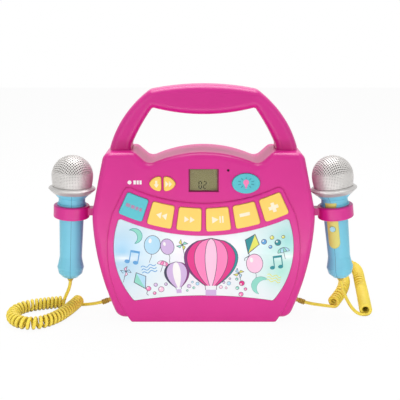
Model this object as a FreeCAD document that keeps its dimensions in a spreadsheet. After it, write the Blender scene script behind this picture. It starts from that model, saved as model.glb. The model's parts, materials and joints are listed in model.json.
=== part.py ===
import FreeCAD, Part
import math
import os
import Sketcher
from FreeCAD import Placement, Rotation, Vector

# Toy karaoke machine: case, handle, keys, light panel, two microphones on curly cords
# X runs to the right, Y to the back and Z up; the middle of the standing face is the origin
# In front-view sketches a depth counts from the Y = 0 plane towards the front

# Lengths in millimetres, angles in degrees, shares and counts as plain numbers
# A rise or drop counts from the shoulders, or from the display for the small keys
SIZES = {
    # Case halves
    "case_half_width": 119.5,
    "case_waist_height": 122.0,
    "case_floor_height": 3.5,
    "case_floor_half_width": 94.5,
    "shoulder_half_width": 105.3,
    "shoulder_height": 187.5,
    "shoulder_inner_half_width": 73.0,
    "shoulder_inner_rise": 1.0,
    "valley_half_width": 58.0,
    "valley_drop": 12.5,
    "hump_rise": 0.9,
    "case_front": 33.0,
    "case_back": 33.0,
    "parting_back": 4.0,
    "wall": 2.6,
    "edge_round": 7.0,
    "shoulder_round": 9.0,
    "shoulder_inner_round": 8.0,
    "valley_round": 10.0,
    "waist_round": 80.0,
    "floor_round": 12.0,
    "plinth_half_width": 76.0,
    "plinth_top_half_width": 80.0,
    "plinth_inset": 3.0,
    "plinth_sink": 1.0,
    "plinth_round": 3.0,
    "chin_rise": 2.0,
    "chin_top_half_width": 83.0,
    # Raised bib on the front
    "bib_rise": 2.2,
    "bib_round": 1.8,
    "bib_corner_round": 6.0,
    "bib_top_gap": 5.0,
    "bib_side_gap": 7.5,
    "bib_foot_half_width": 79.4,
    "bib_foot_round": 3.0,
    "bib_bend_round": 20.0,
    # Fan of six main keys
    "fan_radius": 200.0,
    "key_row_height": 117.0,
    "fan_pitch": 8.64,
    "key_length": 25.3,
    "key_width": 25.2,
    "key_round": 2.6,
    "key_proud": 1.6,
    "key_edge_round": 0.9,
    "key_travel": 1.2,
    "key_gap": 0.35,
    "flange_rim": 1.2,
    "flange_thickness": 1.5,
    "flange_gap": 0.25,
    # Record keys, light key and display
    "record_centre_x": 43.4,
    "record_drop": 3.3,
    "record_half_width": 14.0,
    "record_half_height": 7.7,
    "record_slit": 2.6,
    "record_tip_round": 2.4,
    "small_key_proud": 1.8,
    "light_key_centre_x": 44.5,
    "light_key_drop": 2.9,
    "light_key_half_width": 14.7,
    "light_key_half_height": 10.7,
    "display_half_width": 15.9,
    "display_half_height": 12.4,
    "display_drop": 29.4,
    "display_rim": 2.6,
    "display_window_thickness": 1.2,
    "pickup_x": 25.7,
    "pickup_rise": 10.9,
    "pickup_hole_radius": 1.4,
    "pickup_radius": 3.0,
    # Light panel, diffuser, reflector tray and lamp board
    "panel_top_drop": 18.0,
    "panel_corner_x": 89.8,
    "panel_bulge_x": 96.4,
    "panel_bulge_height": 86.0,
    "panel_low_x": 75.8,
    "panel_low_height": 25.5,
    "panel_arch_height": 31.5,
    "panel_round": 3.0,
    "panel_sunk": 0.4,
    "panel_gap": 0.3,
    "panel_rim": 2.2,
    "panel_rim_thickness": 1.5,
    "diffuser_thickness": 1.2,
    "stack_gap": 0.1,
    "tray_depth": 12.0,
    "tray_wall": 1.6,
    "tray_ear_x": 104.5,
    "tray_ear_height": 76.0,
    "tray_foot_x": 40.0,
    "tray_foot_height": 20.5,
    "tray_ear_half_width": 4.2,
    "lamp_board_half_width": 66.0,
    "lamp_board_half_height": 12.0,
    "lamp_board_height": 66.0,
    "board_thickness": 1.6,
    "lamp_radius": 2.5,
    "lamp_length": 3.0,
    "lamp_round_share": 0.8,
    "lamp_pitch": 22.0,
    # Main board and membrane
    "board_front": 25.6,
    "board_top_half_width": 36.0,
    "board_top_drop": 8.4,
    "board_shoulder_half_width": 66.0,
    "board_shoulder_drop": 18.4,
    "board_waist_drop": 36.4,
    "board_wing_half_width": 102.0,
    "board_wing_drop": 48.4,
    "board_edge_gap": 1.0,
    "membrane_thickness": 1.0,
    "membrane_inset": 0.8,
    "dome_radius": 4.0,
    "chip_half_side": 8.0,
    "chip_height": 2.2,
    "chip_x": 20.0,
    "chip_z": 140.0,
    "board_post_x": 33.2,
    "board_post_drop": 15.2,
    "board_wing_post_x": 97.5,
    "board_wing_post_drop": 57.4,
    # Screws and posts
    "post_radius": 4.0,
    "small_post_radius": 3.0,
    "post_sink": 0.6,
    "post_wall": 1.4,
    "screw_radius": 1.4,
    "screw_gap": 0.15,
    "screw_head_radius": 2.9,
    "screw_head_height": 2.0,
    "screw_grip": 12.0,
    "screw_well_radius": 3.4,
    "screw_seat_back": 12.0,
    "small_screw_radius": 1.0,
    "small_screw_head_radius": 1.9,
    "small_screw_head_height": 1.4,
    "small_screw_grip": 4.0,
    "case_post_upper_x": 86.0,
    "case_post_upper_drop": 29.5,
    "case_post_middle_x": 108.8,
    "case_post_middle_height": 100.0,
    "case_post_lower_x": 86.0,
    "case_post_lower_height": 15.5,
    # Loudspeaker and its grille in the rear half
    "speaker_over_door": 7.0,
    "grille_radius": 31.0,
    "grille_rim": 3.0,
    "grille_rim_thickness": 1.4,
    "grille_gap": 0.3,
    "grille_hole_radius": 2.0,
    "grille_hole_pitch": 7.6,
    "speaker_half_side": 36.0,
    "speaker_corner_round": 6.0,
    "speaker_plate_thickness": 1.8,
    "speaker_plate_back": 24.0,
    "speaker_cone_radius": 29.0,
    "speaker_throat_radius": 9.0,
    "speaker_basket_radius": 30.8,
    "speaker_basket_wall": 1.2,
    "speaker_basket_depth": 13.0,
    "speaker_cone_wall": 0.6,
    "speaker_dust_cap_height": 3.5,
    "speaker_dust_cap_flat": 1.0,
    "speaker_magnet_radius": 17.0,
    "speaker_magnet_depth": 9.0,
    "speaker_screw_offset": 31.0,
    "speaker_post_gap": 0.1,
    # Battery box, contacts and door
    "battery_half_width": 31.0,
    "battery_low": 22.5,
    "battery_high": 76.0,
    "battery_depth": 17.0,
    "battery_wall": 1.6,
    "battery_rib": 1.2,
    "battery_rib_height": 5.0,
    "contact_thickness": 0.6,
    "contact_half_width": 4.5,
    "contact_height": 10.0,
    "door_half_width": 36.0,
    "door_low": 17.0,
    "door_high": 90.0,
    "door_thickness": 2.0,
    "door_gap": 0.4,
    "door_ledge": 2.2,
    "door_ledge_thickness": 2.4,
    "door_tongue_half_width": 5.0,
    "door_tongue_x": 20.0,
    "door_tongue_drop": 3.0,
    "door_tongue_thickness": 1.4,
    "door_screw_height": 84.0,
    "door_screw_hole_radius": 1.9,
    "door_screw_grip": 5.0,
    "door_screw_share": 0.8,
    "door_screw_recess": 0.9,
    # Power switch
    "switch_x": 74.0,
    "switch_height": 96.0,
    "switch_knob_half_width": 3.2,
    "switch_knob_half_height": 2.6,
    "switch_travel": 5.0,
    "switch_gap": 0.4,
    "switch_flange": 1.6,
    "switch_flange_thickness": 1.4,
    "switch_knob_proud": 1.6,
    "switch_body_depth": 6.0,
    "switch_body_half_width": 12.0,
    "switch_body_half_height": 6.0,
    # Handle halves
    "handle_front": 14.0,
    "handle_back": 22.0,
    "handle_foot_x": 100.5,
    "handle_ankle_rise": 2.0,
    "handle_bend_x": 85.0,
    "handle_bend_rise": 35.5,
    "handle_corner_x": 57.3,
    "handle_corner_rise": 63.5,
    "handle_top_rise": 69.2,
    "handle_inner_foot_x": 77.5,
    "handle_inner_foot_rise": 5.5,
    "handle_inner_bend_x": 67.5,
    "handle_inner_bend_rise": 25.0,
    "handle_inner_corner_x": 54.4,
    "handle_inner_corner_rise": 45.2,
    "handle_grip_low_rise": 38.1,
    "handle_edge_round": 8.0,
    "handle_corner_round": 11.0,
    "handle_inner_corner_round": 3.0,
    "handle_ankle_round": 12.0,
    "handle_wall": 2.4,
    "handle_slot_gap": 0.3,
    "handle_foot_flange": 2.0,
    "handle_foot_drop": 13.0,
    "handle_foot_gap": 2.4,
    # Microphone holders
    "holder_x": 145.4,
    "holder_front": 4.0,
    "holder_height": 119.0,
    "holder_inner_radius": 15.0,
    "holder_outer_radius": 19.6,
    "holder_ring_height": 14.2,
    "holder_edge_round": 1.6,
    "holder_arm_half_width": 6.0,
    "holder_arm_half_height": 4.0,
    "holder_plug_step": 1.2,
    "holder_plug_length": 7.0,
    "holder_plug_gap": 0.15,
    "holder_barb": 0.9,
    "holder_barb_length": 2.0,
    "holder_seat_gap": 0.15,
    "left_lean": 3.5,
    "right_lean": 7.0,
    # Microphones, heights along the own axis from the middle of the ring
    "mic_turn_left": 188.0,
    "mic_turn_right": -29.0,
    "mic_handle_top": 20.4,
    "mic_handle_top_radius": 19.8,
    "mic_neck_top": 14.5,
    "mic_neck_radius": 14.4,
    "mic_bead_height": 1.6,
    "mic_bead_radius": 15.7,
    "mic_ring_radius": 13.6,
    "mic_waist_low": 52.0,
    "mic_waist_radius": 12.2,
    "mic_flare_low": 65.0,
    "mic_flare_radius": 14.7,
    "mic_flare_share": 0.4,
    "mic_heel_low": 72.0,
    "mic_heel_radius": 13.0,
    "mic_bottom_low": 76.5,
    "mic_bottom_radius": 8.5,
    "mic_wall": 2.4,
    "mic_cord_hole_radius": 2.4,
    "mic_collar_radius": 25.0,
    "mic_collar_inner_radius": 17.0,
    "mic_collar_thickness": 7.6,
    "mic_collar_lip": 1.6,
    "mic_collar_lip_share": 0.66,
    "mic_collar_step": 1.8,
    "mic_head_radius": 22.4,
    "mic_head_base_radius": 21.2,
    "mic_head_top": 62.0,
    "mic_head_wall": 1.8,
    "mic_head_side_share": 0.25,
    "mic_head_flat_radius": 1.5,
    "mic_capsule_radius": 5.0,
    "mic_capsule_length": 8.0,
    "mic_capsule_plate": 2.0,
    "mic_capsule_gap": 0.3,
    "mic_rim_radius": 12.5,
    "mic_rim_height": 3.0,
    "plate_half_width": 6.4,
    "plate_high": 12.0,
    "plate_low": 40.0,
    "plate_seat": 10.4,
    "plate_proud": 0.25,
    "plate_gap": 0.15,
    "talk_low": 17.5,
    "talk_radius": 3.0,
    "talk_rim": 0.9,
    "talk_flange_thickness": 1.2,
    "talk_proud": 0.9,
    "talk_gap": 0.35,
    # Glands and cords
    "cord_radius": 1.9,
    "gland_radius": 2.9,
    "gland_rib": 0.6,
    "gland_rib_width": 1.0,
    "gland_flange_radius": 4.2,
    "gland_flange_thickness": 1.2,
    "gland_neck_radius": 2.2,
    "gland_gap": 0.2,
    "gland_length": 9.0,
    "gland_mic_length": 5.5,
    "gland_front": 4.0,
    "gland_height": 17.0,
    "coil_radius": 5.3,
    "coil_axis_height": 7.3,
    "lead_run": 13.4,
    "lead_trim_share": 0.45,
    "mic_lead_run_left": 9.0,
    "mic_lead_run_right": 15.0,
    "left_coil_turns": 38.25,
    "right_coil_turns": 60.0,
    "left_coil_a_x": -144.6,
    "left_coil_a_y": 11.7,
    "left_coil_b_x": -151.8,
    "left_coil_b_y": -19.5,
    "left_coil_c_x": -169.0,
    "left_coil_c_y": -48.0,
    "left_coil_d_x": -189.0,
    "left_coil_d_y": -54.5,
    "left_coil_e_x": -207.0,
    "left_coil_e_y": -42.0,
    "left_coil_f_x": -211.0,
    "left_coil_f_y": -22.0,
    "left_coil_g_x": -201.0,
    "left_coil_g_y": -7.0,
    "left_coil_h_x": -184.0,
    "left_coil_h_y": 0.5,
    "left_coil_i_x": -165.5,
    "left_coil_i_y": 7.5,
    "right_coil_a_x": 149.9,
    "right_coil_a_y": 5.6,
    "right_coil_b_x": 160.3,
    "right_coil_b_y": 29.0,
    "right_coil_c_x": 169.0,
    "right_coil_c_y": 54.0,
    "right_coil_d_x": 172.0,
    "right_coil_d_y": 82.0,
    "right_coil_e_x": 170.5,
    "right_coil_e_y": 112.0,
    "right_coil_f_x": 172.2,
    "right_coil_f_y": 132.5,
    "right_coil_g_x": 187.5,
    "right_coil_g_y": 143.0,
    "right_coil_h_x": 202.8,
    "right_coil_h_y": 132.5,
    "right_coil_i_x": 204.5,
    "right_coil_i_y": 112.0,
    "right_coil_j_x": 198.0,
    "right_coil_j_y": 80.0,
    "right_coil_k_x": 190.0,
    "right_coil_k_y": 32.0,
    "right_coil_l_x": 182.0,
    "right_coil_l_y": -17.7,
    "touch": 0.01,
}

doc = FreeCAD.newDocument("KaraokeMachine")
sheet = doc.addObject("Spreadsheet::Sheet", "Sizes")
for row, (name, value) in enumerate(SIZES.items(), start=1):
    sheet.set(f"A{row}", name)
    sheet.set(f"B{row}", str(value))
    sheet.setAlias(f"B{row}", name)
doc.recompute()


class Size:
    """A value worked out from the sheet, with the expression that keeps it bound."""

    def __init__(self, text, value):
        self.text = text
        self.value = value

    def __add__(self, other):
        other = as_size(other)
        return Size(f"({self.text} + {other.text})", self.value + other.value)

    def __sub__(self, other):
        other = as_size(other)
        return Size(f"({self.text} - {other.text})", self.value - other.value)

    def __mul__(self, other):
        other = as_size(other)
        return Size(f"{self.text} * {other.text}", self.value * other.value)

    def __truediv__(self, other):
        other = as_size(other)
        return Size(f"({self.text}) / ({other.text})", self.value / other.value)

    def __rmul__(self, other):
        return as_size(other) * self

    def __rsub__(self, other):
        return as_size(other) - self

    def __radd__(self, other):
        return as_size(other) + self

    def __neg__(self):
        return Size(f"(-1 * {self.text})", -self.value)


class Named:
    """Gives each alias of the sheet as a bound size."""

    def __getattr__(self, name):
        return Size(f"Sizes.{name}", float(sheet.get(name)))


def as_size(number):
    """Turn a plain number into a size; a size stays as it is."""
    return number if isinstance(number, Size) else Size(str(number), number)


def sine(angle):
    return Size(f"sin({angle.text})", math.sin(math.radians(angle.value)))


def cosine(angle):
    return Size(f"cos({angle.text})", math.cos(math.radians(angle.value)))


def square_root(area):
    return Size(f"sqrt({area.text})", math.sqrt(area.value))


def arc_sine(share):
    return Size(f"asin({share.text})", math.degrees(math.asin(share.value)))


size = Named()
ZERO = Size("0", 0.0)
PARTS = []


# Helpers for bodies, sketches and features

def new_body(label):
    """Start a body whose label is the name of its file."""
    body = doc.addObject("PartDesign::Body", label)
    body.Label = label
    PARTS.append(body)
    return body


def sketch_on(body, role, depth=ZERO, x=ZERO, y=ZERO, tilt=None, axis=Vector(0, 1, 0)):
    """Attach a sketch to an origin plane, moved along its normal and in the plane."""
    plane = next(item for item in body.Origin.OriginFeatures if item.Role == role)
    sketch = body.newObject("Sketcher::SketchObject", f"{body.Label}_sketch")
    sketch.AttachmentSupport = [(plane, "")]
    sketch.MapMode = "FlatFace"
    turn = Rotation(axis, tilt.value) if tilt else Rotation()
    sketch.AttachmentOffset = Placement(Vector(x.value, y.value, depth.value), turn)
    for letter, amount in (("x", x), ("y", y), ("z", depth)):
        if amount is not ZERO:
            sketch.setExpression(f"AttachmentOffset.Base.{letter}", amount.text)
    if tilt:
        sketch.setExpression("AttachmentOffset.Rotation.Angle", tilt.text)
    return sketch


def spot(corner):
    """The place of a corner in its sketch."""
    return Vector(corner[0].value, corner[1].value, 0)


def bind(sketch, rules):
    """Add constraints and bind each one that carries a size."""
    numbers = sketch.addConstraint([rule for rule, amount in rules])
    for number, (rule, amount) in zip(numbers, rules):
        if amount is not None:
            sketch.setExpression(f"Constraints[{number}]", amount.text)


def pinned(curve, end, corner):
    """Rules that hold one point of a curve at a corner."""
    across = Sketcher.Constraint("DistanceX", curve, end, corner[0].value)
    along = Sketcher.Constraint("DistanceY", curve, end, corner[1].value)
    return [(across, corner[0]), (along, corner[1])]


def draw(sketch, start, steps):
    """Draw a closed outline; each step is (end,) for a line or (via, end) for an arc."""
    corners = [start] + [step[-1] for step in steps]
    ends = []
    rules = []
    for index, step in enumerate(steps):
        here = corners[index]
        there = corners[index + 1]
        if len(step) == 1:
            curve = Part.LineSegment(spot(here), spot(there))
        else:
            curve = Part.Arc(spot(here), spot(step[0]), spot(there))
        number = sketch.addGeometry(curve, False)
        begins = sketch.getPoint(number, 1)
        turned = (begins - spot(here)).Length > (begins - spot(there)).Length
        ends.append((number, 2, 1) if turned else (number, 1, 2))
        if len(step) == 2:
            via = sketch.addGeometry(Part.Point(spot(step[0])), True)
            rules += pinned(via, 1, step[0])
            rules.append((Sketcher.Constraint("PointOnObject", via, 1, number), None))
    for index, (number, first, last) in enumerate(ends):
        following = ends[(index + 1) % len(ends)]
        meet = Sketcher.Constraint("Coincident", number, last, following[0], following[1])
        rules.append((meet, None))
        rules += pinned(number, first, corners[index])
    bind(sketch, rules)


def draw_circle(sketch, x, y, radius):
    """Draw one circle pinned by its centre and radius."""
    circle = Part.Circle(spot((x, y)), Vector(0, 0, 1), radius.value)
    number = sketch.addGeometry(circle, False)
    rules = pinned(number, 3, (x, y))
    rules.append((Sketcher.Constraint("Radius", number, radius.value), radius))
    bind(sketch, rules)


def draw_box(sketch, x_low, x_high, y_low, y_high):
    """Draw one rectangle between two corners."""
    start = (x_low, y_low)
    draw(sketch, start, [((x_high, y_low),), ((x_high, y_high),), ((x_low, y_high),), (start,)])


def draw_oval(sketch, x, y, half_width, half_height):
    """Draw an oval of eight arcs through points of an ellipse."""
    places = [oval_point(x, y, half_width, half_height, 22.5 * index) for index in range(17)]
    steps = [(places[index + 1], places[index + 2]) for index in range(0, 14, 2)]
    steps.append((places[15], places[0]))
    draw(sketch, places[0], steps)


def oval_point(x, y, half_width, half_height, angle):
    """A point of an ellipse at an angle counted from its right end."""
    turn = math.radians(angle)
    across = x + half_width * round(math.cos(turn), 9)
    return (across, y + half_height * round(math.sin(turn), 9))


def flip(corner):
    return (-corner[0], corner[1])


def link(via, end):
    return (end,) if via is None else (via, end)


def mirrored(start, steps, bottom_via=None, top_via=None):
    """Complete an outline whose right side runs from top to bottom."""
    corners = [start] + [step[-1] for step in steps]
    path = list(steps)
    path.append(link(bottom_via, flip(corners[-1])))
    for index in range(len(steps) - 1, -1, -1):
        via = flip(steps[index][0]) if len(steps[index]) == 2 else None
        path.append(link(via, flip(corners[index])))
    path.append(link(top_via, start))
    return path


def pad(body, sketch, length, reverse=False):
    """Grow a sketch along its normal."""
    feature = body.newObject("PartDesign::Pad", f"{body.Label}_pad")
    feature.Profile = sketch
    feature.Length = length.value
    feature.setExpression("Length", length.text)
    feature.Reversed = reverse
    doc.recompute()
    return feature


def pocket(body, sketch, length, reverse=False):
    """Cut a sketch against its normal and make sure that it did cut."""
    before = body.Shape.Volume
    feature = body.newObject("PartDesign::Pocket", f"{body.Label}_pocket")
    feature.Profile = sketch
    feature.Length = length.value
    feature.setExpression("Length", length.text)
    feature.Reversed = reverse
    doc.recompute()
    if not body.Shape.Volume < before:
        raise RuntimeError(f"{body.Label}: a pocket cuts nothing")
    return feature


def revolve(body, sketch, angle=360.0, reverse=False):
    """Turn a sketch round its upright axis."""
    feature = body.newObject("PartDesign::Revolution", f"{body.Label}_revolution")
    feature.Profile = sketch
    feature.ReferenceAxis = (sketch, ["V_Axis"])
    feature.Angle = angle
    feature.Reversed = reverse
    doc.recompute()
    return feature


def groove(body, sketch):
    """Cut a sketch turned once round its upright axis."""
    before = body.Shape.Volume
    feature = body.newObject("PartDesign::Groove", f"{body.Label}_groove")
    feature.Profile = sketch
    feature.ReferenceAxis = (sketch, ["V_Axis"])
    feature.Angle = 360.0
    doc.recompute()
    if not body.Shape.Volume < before:
        raise RuntimeError(f"{body.Label}: a groove cuts nothing")
    return feature


def round_edges(body, radius, chosen):
    """Round the edges for which the chooser holds."""
    tip = body.Tip
    names = [f"Edge{number}" for number, edge in enumerate(tip.Shape.Edges, start=1) if chosen(edge)]
    if not names:
        raise RuntimeError(f"{body.Label}: no edge to round")
    feature = body.newObject("PartDesign::Fillet", f"{body.Label}_fillet")
    feature.Base = (tip, names)
    feature.Radius = radius.value
    feature.setExpression("Radius", radius.text)
    doc.recompute()
    return feature


def hollow(body, wall, open_face):
    """Leave a wall of even thickness and open the chosen face."""
    tip = body.Tip
    names = [f"Face{number}" for number, face in enumerate(tip.Shape.Faces, start=1) if open_face(face)]
    feature = body.newObject("PartDesign::Thickness", f"{body.Label}_thickness")
    feature.Base = (tip, names)
    feature.Value = wall.value
    feature.setExpression("Value", wall.text)
    feature.Reversed = True
    feature.Join = 1
    doc.recompute()
    return feature


def edge_points(edge):
    """Three places along an edge."""
    first, last = edge.ParameterRange
    return [edge.valueAt(first), edge.valueAt((first + last) / 2), edge.valueAt(last)]


def near(value, target):
    return abs(value - target.value) < size.touch.value


def at_depth(depth):
    """Chooser for edges that lie wholly in one upright plane."""
    return lambda edge: all(near(-point.y, depth) for point in edge_points(edge))


def face_at_depth(depth):
    """Chooser for faces that lie wholly in one upright plane."""
    return lambda face: all(near(-corner.Y, depth) for corner in face.Vertexes)


def at_height(height):
    """Chooser for edges that lie wholly in one level plane."""
    return lambda edge: all(near(point.z, height) for point in edge_points(edge))


def along_depth(corners, reach):
    """Chooser for edges that run front to back through one of the given corners."""
    def chosen(edge):
        points = edge_points(edge)
        straight = all((point - points[0]).cross(Vector(0, 1, 0)).Length < reach.value for point in points)
        hits = any(
            math.hypot(points[0].x - corner[0].value, points[0].z - corner[1].value) < reach.value
            for corner in corners
        )
        return straight and hits
    return chosen


def is_ring(edge):
    """Chooser for closed round edges."""
    return edge.Closed


def both_sides(corner):
    return [corner, flip(corner)]


def place(body, x, y, z, lean=None, turn=None):
    """Set a body down, leaned sideways about Y after a turn about its own axis."""
    spin = Rotation(Vector(0, 0, 1), turn.value if turn else 0)
    tip_over = Rotation(Vector(0, 1, 0), lean.value if lean else 0)
    body.Placement = Placement(Vector(x.value, y.value, z.value), tip_over.multiply(spin))
    for letter, amount in (("x", x), ("y", y), ("z", z)):
        body.setExpression(f"Placement.Base.{letter}", amount.text)


# Shared measures

SIDE_DROP = size.case_waist_height - size.case_floor_height
SIDE_INSET = size.case_half_width - size.case_floor_half_width
SIDE_RADIUS = (SIDE_DROP * SIDE_DROP + SIDE_INSET * SIDE_INSET) / (2 * SIDE_INSET)
SHOULDER_INNER_HEIGHT = size.shoulder_height + size.shoulder_inner_rise
VALLEY_HEIGHT = size.shoulder_height - size.valley_drop
HUMP_HEIGHT = size.shoulder_height + size.hump_rise
DISPLAY_HEIGHT = HUMP_HEIGHT - size.display_drop
RECORD_HEIGHT = DISPLAY_HEIGHT - size.record_drop
LIGHT_KEY_HEIGHT = DISPLAY_HEIGHT - size.light_key_drop
PICKUP_HEIGHT = DISPLAY_HEIGHT + size.pickup_rise
SPEAKER_HEIGHT = size.door_high + size.speaker_over_door + size.grille_radius
FAN_CENTRE_HEIGHT = size.key_row_height + size.fan_radius
WALL_INSIDE = size.case_front - size.wall
BACK_INSIDE = size.case_back - size.wall
BIB_FRONT = size.case_front + size.bib_rise
FLANGE_FRONT = WALL_INSIDE - size.flange_gap
FAN_TOP = size.fan_radius - size.key_length / 2
FAN_LOW = size.fan_radius + size.key_length / 2
DEGREES = math.degrees(1)
RIGHT_ANGLE = as_size(90)
FULL_TURN = 360
FAN_KEY_COUNT = 6
LAMP_COUNT = 6
FIRST_RING_HOLES = 6
DIAGONAL_SHARE = math.sqrt(1 / 2)
KEY_HALF_ANGLE = size.key_width / 2 * DEGREES / size.fan_radius
PANEL_TOP_RADIUS = size.fan_radius + size.panel_top_drop
MEMBRANE_FRONT = size.board_front + size.membrane_thickness
SCREW_HOLE = size.screw_radius + size.screw_gap
SMALL_SCREW_HOLE = size.small_screw_radius + size.screw_gap


def under_hump(drop):
    """A height counted down from the hump of the case."""
    return HUMP_HEIGHT - drop


def above_shoulder(rise):
    """A height counted up from the shoulders of the case."""
    return size.shoulder_height + rise


def side_half_width(height):
    """Half the width of the lower flank at a height."""
    drop = size.case_waist_height - height
    return size.case_half_width - SIDE_RADIUS + square_root(SIDE_RADIUS * SIDE_RADIUS - drop * drop)


def case_outline():
    """Right side of the case from the hump to the floor, closed on the left."""
    start = (size.valley_half_width, VALLEY_HEIGHT)
    middle = (size.case_floor_height + size.case_waist_height) / 2
    steps = [
        ((size.shoulder_inner_half_width, SHOULDER_INNER_HEIGHT),),
        ((size.shoulder_half_width, size.shoulder_height),),
        ((size.case_half_width, size.case_waist_height),),
        ((side_half_width(middle), middle), (size.case_floor_half_width, size.case_floor_height)),
    ]
    return start, mirrored(start, steps, top_via=(ZERO, HUMP_HEIGHT))


def case_block(label, start_depth, length, face_depth):
    """Rounded and hollowed half of the case, open at the parting plane."""
    body = new_body(label)
    outline = sketch_on(body, "XZ_Plane", start_depth)
    draw(outline, *case_outline())
    pad(body, outline, length)
    reach = size.wall
    corners = [
        (size.shoulder_round, (size.shoulder_half_width, size.shoulder_height)),
        (size.shoulder_inner_round, (size.shoulder_inner_half_width, SHOULDER_INNER_HEIGHT)),
        (size.valley_round, (size.valley_half_width, VALLEY_HEIGHT)),
        (size.waist_round, (size.case_half_width, size.case_waist_height)),
        (size.floor_round, (size.case_floor_half_width, size.case_floor_height)),
    ]
    for radius, corner in corners:
        round_edges(body, radius, along_depth(both_sides(corner), reach))
    round_edges(body, size.edge_round, at_depth(face_depth))
    hollow(body, size.wall, face_at_depth(-size.parting_back))
    return body


def add_plinth(body, start_depth, end_depth):
    """Plinth under the case between two depths."""
    start = (size.plinth_top_half_width, size.case_floor_height + size.plinth_sink)
    outline = (start, mirrored(start, [((size.plinth_half_width, ZERO),)]))
    pad_outline(body, outline, start_depth, end_depth)


def hollow_plinth(body, start_depth, end_depth):
    """Round the lower edges of the plinth and open it towards the inside of the case."""
    low = (size.plinth_half_width, ZERO)
    round_edges(body, size.plinth_round, along_depth(both_sides(low), size.touch))
    start = (size.plinth_top_half_width - size.wall, size.case_floor_height + size.wall)
    low = (size.plinth_half_width - size.wall, size.wall)
    cut_outline(body, [(start, mirrored(start, [(low,)]))], start_depth, end_depth)


def fan_point(radius, angle):
    """A point of the key fan at an angle counted from straight down."""
    return (radius * sine(angle), FAN_CENTRE_HEIGHT - radius * cosine(angle))


def fan_sector(angle, grow):
    """Outline of one fan key, grown on every side."""
    inner = FAN_TOP - grow
    outer = FAN_LOW + grow
    half = KEY_HALF_ANGLE + grow * DEGREES / size.fan_radius
    start = fan_point(inner, angle - half)
    steps = [
        (fan_point(inner, angle), fan_point(inner, angle + half)),
        (fan_point(outer, angle + half),),
        (fan_point(outer, angle), fan_point(outer, angle - half)),
        (start,),
    ]
    return start, steps


def fan_angle(place_in_row):
    """Angle of a fan key counted from the left."""
    return size.fan_pitch * (place_in_row - (FAN_KEY_COUNT - 1) / 2)


def half_oval(side, grow):
    """Outline of a record key: one half of an oval, grown on every side."""
    centre = -size.record_centre_x
    wide = size.record_half_width + grow
    high = size.record_half_height + grow
    slit = size.record_slit / 2 - grow
    reach = high * square_root(1 - (slit / wide) * (slit / wide))
    share = DIAGONAL_SHARE
    middle = RECORD_HEIGHT
    start = (centre + side * slit, middle + reach)
    tip = (centre + side * wide, middle)
    low = (centre + side * slit, middle - reach)
    upper_via = (centre + side * wide * share, middle + high * share)
    lower_via = (centre + side * wide * share, middle - high * share)
    return start, [(upper_via, tip), (lower_via, low), (start,)]


def panel_outline(grow):
    """Spool shape of the light panel, grown on every side."""
    radius = PANEL_TOP_RADIUS - grow
    corner_x = size.panel_corner_x + grow
    corner_z = FAN_CENTRE_HEIGHT - square_root(radius * radius - corner_x * corner_x)
    start = (corner_x, corner_z)
    low = (size.panel_low_x + grow, size.panel_low_height - grow)
    steps = [((size.panel_bulge_x + grow, size.panel_bulge_height), low)]
    arch = (ZERO, size.panel_arch_height - grow)
    sag = (ZERO, FAN_CENTRE_HEIGHT - radius)
    return start, mirrored(start, steps, bottom_via=arch, top_via=sag)


def panel_corners(grow):
    """The four corners of the light panel outline."""
    start, steps = panel_outline(grow)
    return both_sides(start) + both_sides(steps[0][-1])


def board_outline(inset):
    """Outline of the main board; its lower edge follows the key fan."""
    radius = FAN_LOW + size.board_edge_gap - inset
    wing = size.board_wing_half_width - inset
    start = (size.board_top_half_width - inset, under_hump(size.board_top_drop) - inset)
    steps = [
        ((size.board_shoulder_half_width - inset, under_hump(size.board_shoulder_drop) - inset),),
        ((size.board_shoulder_half_width - inset, under_hump(size.board_waist_drop) - inset),),
        ((wing, under_hump(size.board_wing_drop) - inset),),
        ((wing, FAN_CENTRE_HEIGHT - square_root(radius * radius - wing * wing)),),
    ]
    return start, mirrored(start, steps, bottom_via=(ZERO, FAN_CENTRE_HEIGHT - radius))


def board_posts():
    """Where the main board is screwed down."""
    upper = (size.board_post_x, under_hump(size.board_post_drop))
    wing = (size.board_wing_post_x, under_hump(size.board_wing_post_drop))
    return both_sides(upper) + both_sides(wing)


def tray_posts():
    """Where the reflector tray is screwed down."""
    ear = (size.tray_ear_x, size.tray_ear_height)
    foot = (size.tray_foot_x, size.tray_foot_height)
    return both_sides(ear) + both_sides(foot)


def case_posts():
    """Where the two halves of the case are screwed together."""
    upper = (size.case_post_upper_x, size.shoulder_height - size.case_post_upper_drop)
    middle = (size.case_post_middle_x, size.case_post_middle_height)
    lower = (size.case_post_lower_x, size.case_post_lower_height)
    return both_sides(upper) + both_sides(middle) + both_sides(lower)


def speaker_posts():
    """Where the loudspeaker is screwed down."""
    offset = size.speaker_screw_offset
    upper = (offset, SPEAKER_HEIGHT + offset)
    lower = (offset, SPEAKER_HEIGHT - offset)
    return both_sides(upper) + both_sides(lower)


def pad_circles(body, places, radius, start_depth, end_depth):
    """Round posts from one depth forward to another."""
    sketch = sketch_on(body, "XZ_Plane", start_depth)
    for x, z in places:
        draw_circle(sketch, x, z, radius)
    return pad(body, sketch, end_depth - start_depth)


def cut_circles(body, places, radius, start_depth, end_depth):
    """Round holes from one depth forward to another."""
    sketch = sketch_on(body, "XZ_Plane", start_depth)
    for x, z in places:
        draw_circle(sketch, x, z, radius)
    return pocket(body, sketch, end_depth - start_depth, reverse=True)


def pad_box(body, x_low, x_high, z_low, z_high, start_depth, end_depth):
    """Block from one depth forward to another."""
    sketch = sketch_on(body, "XZ_Plane", start_depth)
    draw_box(sketch, x_low, x_high, z_low, z_high)
    return pad(body, sketch, end_depth - start_depth)


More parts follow.
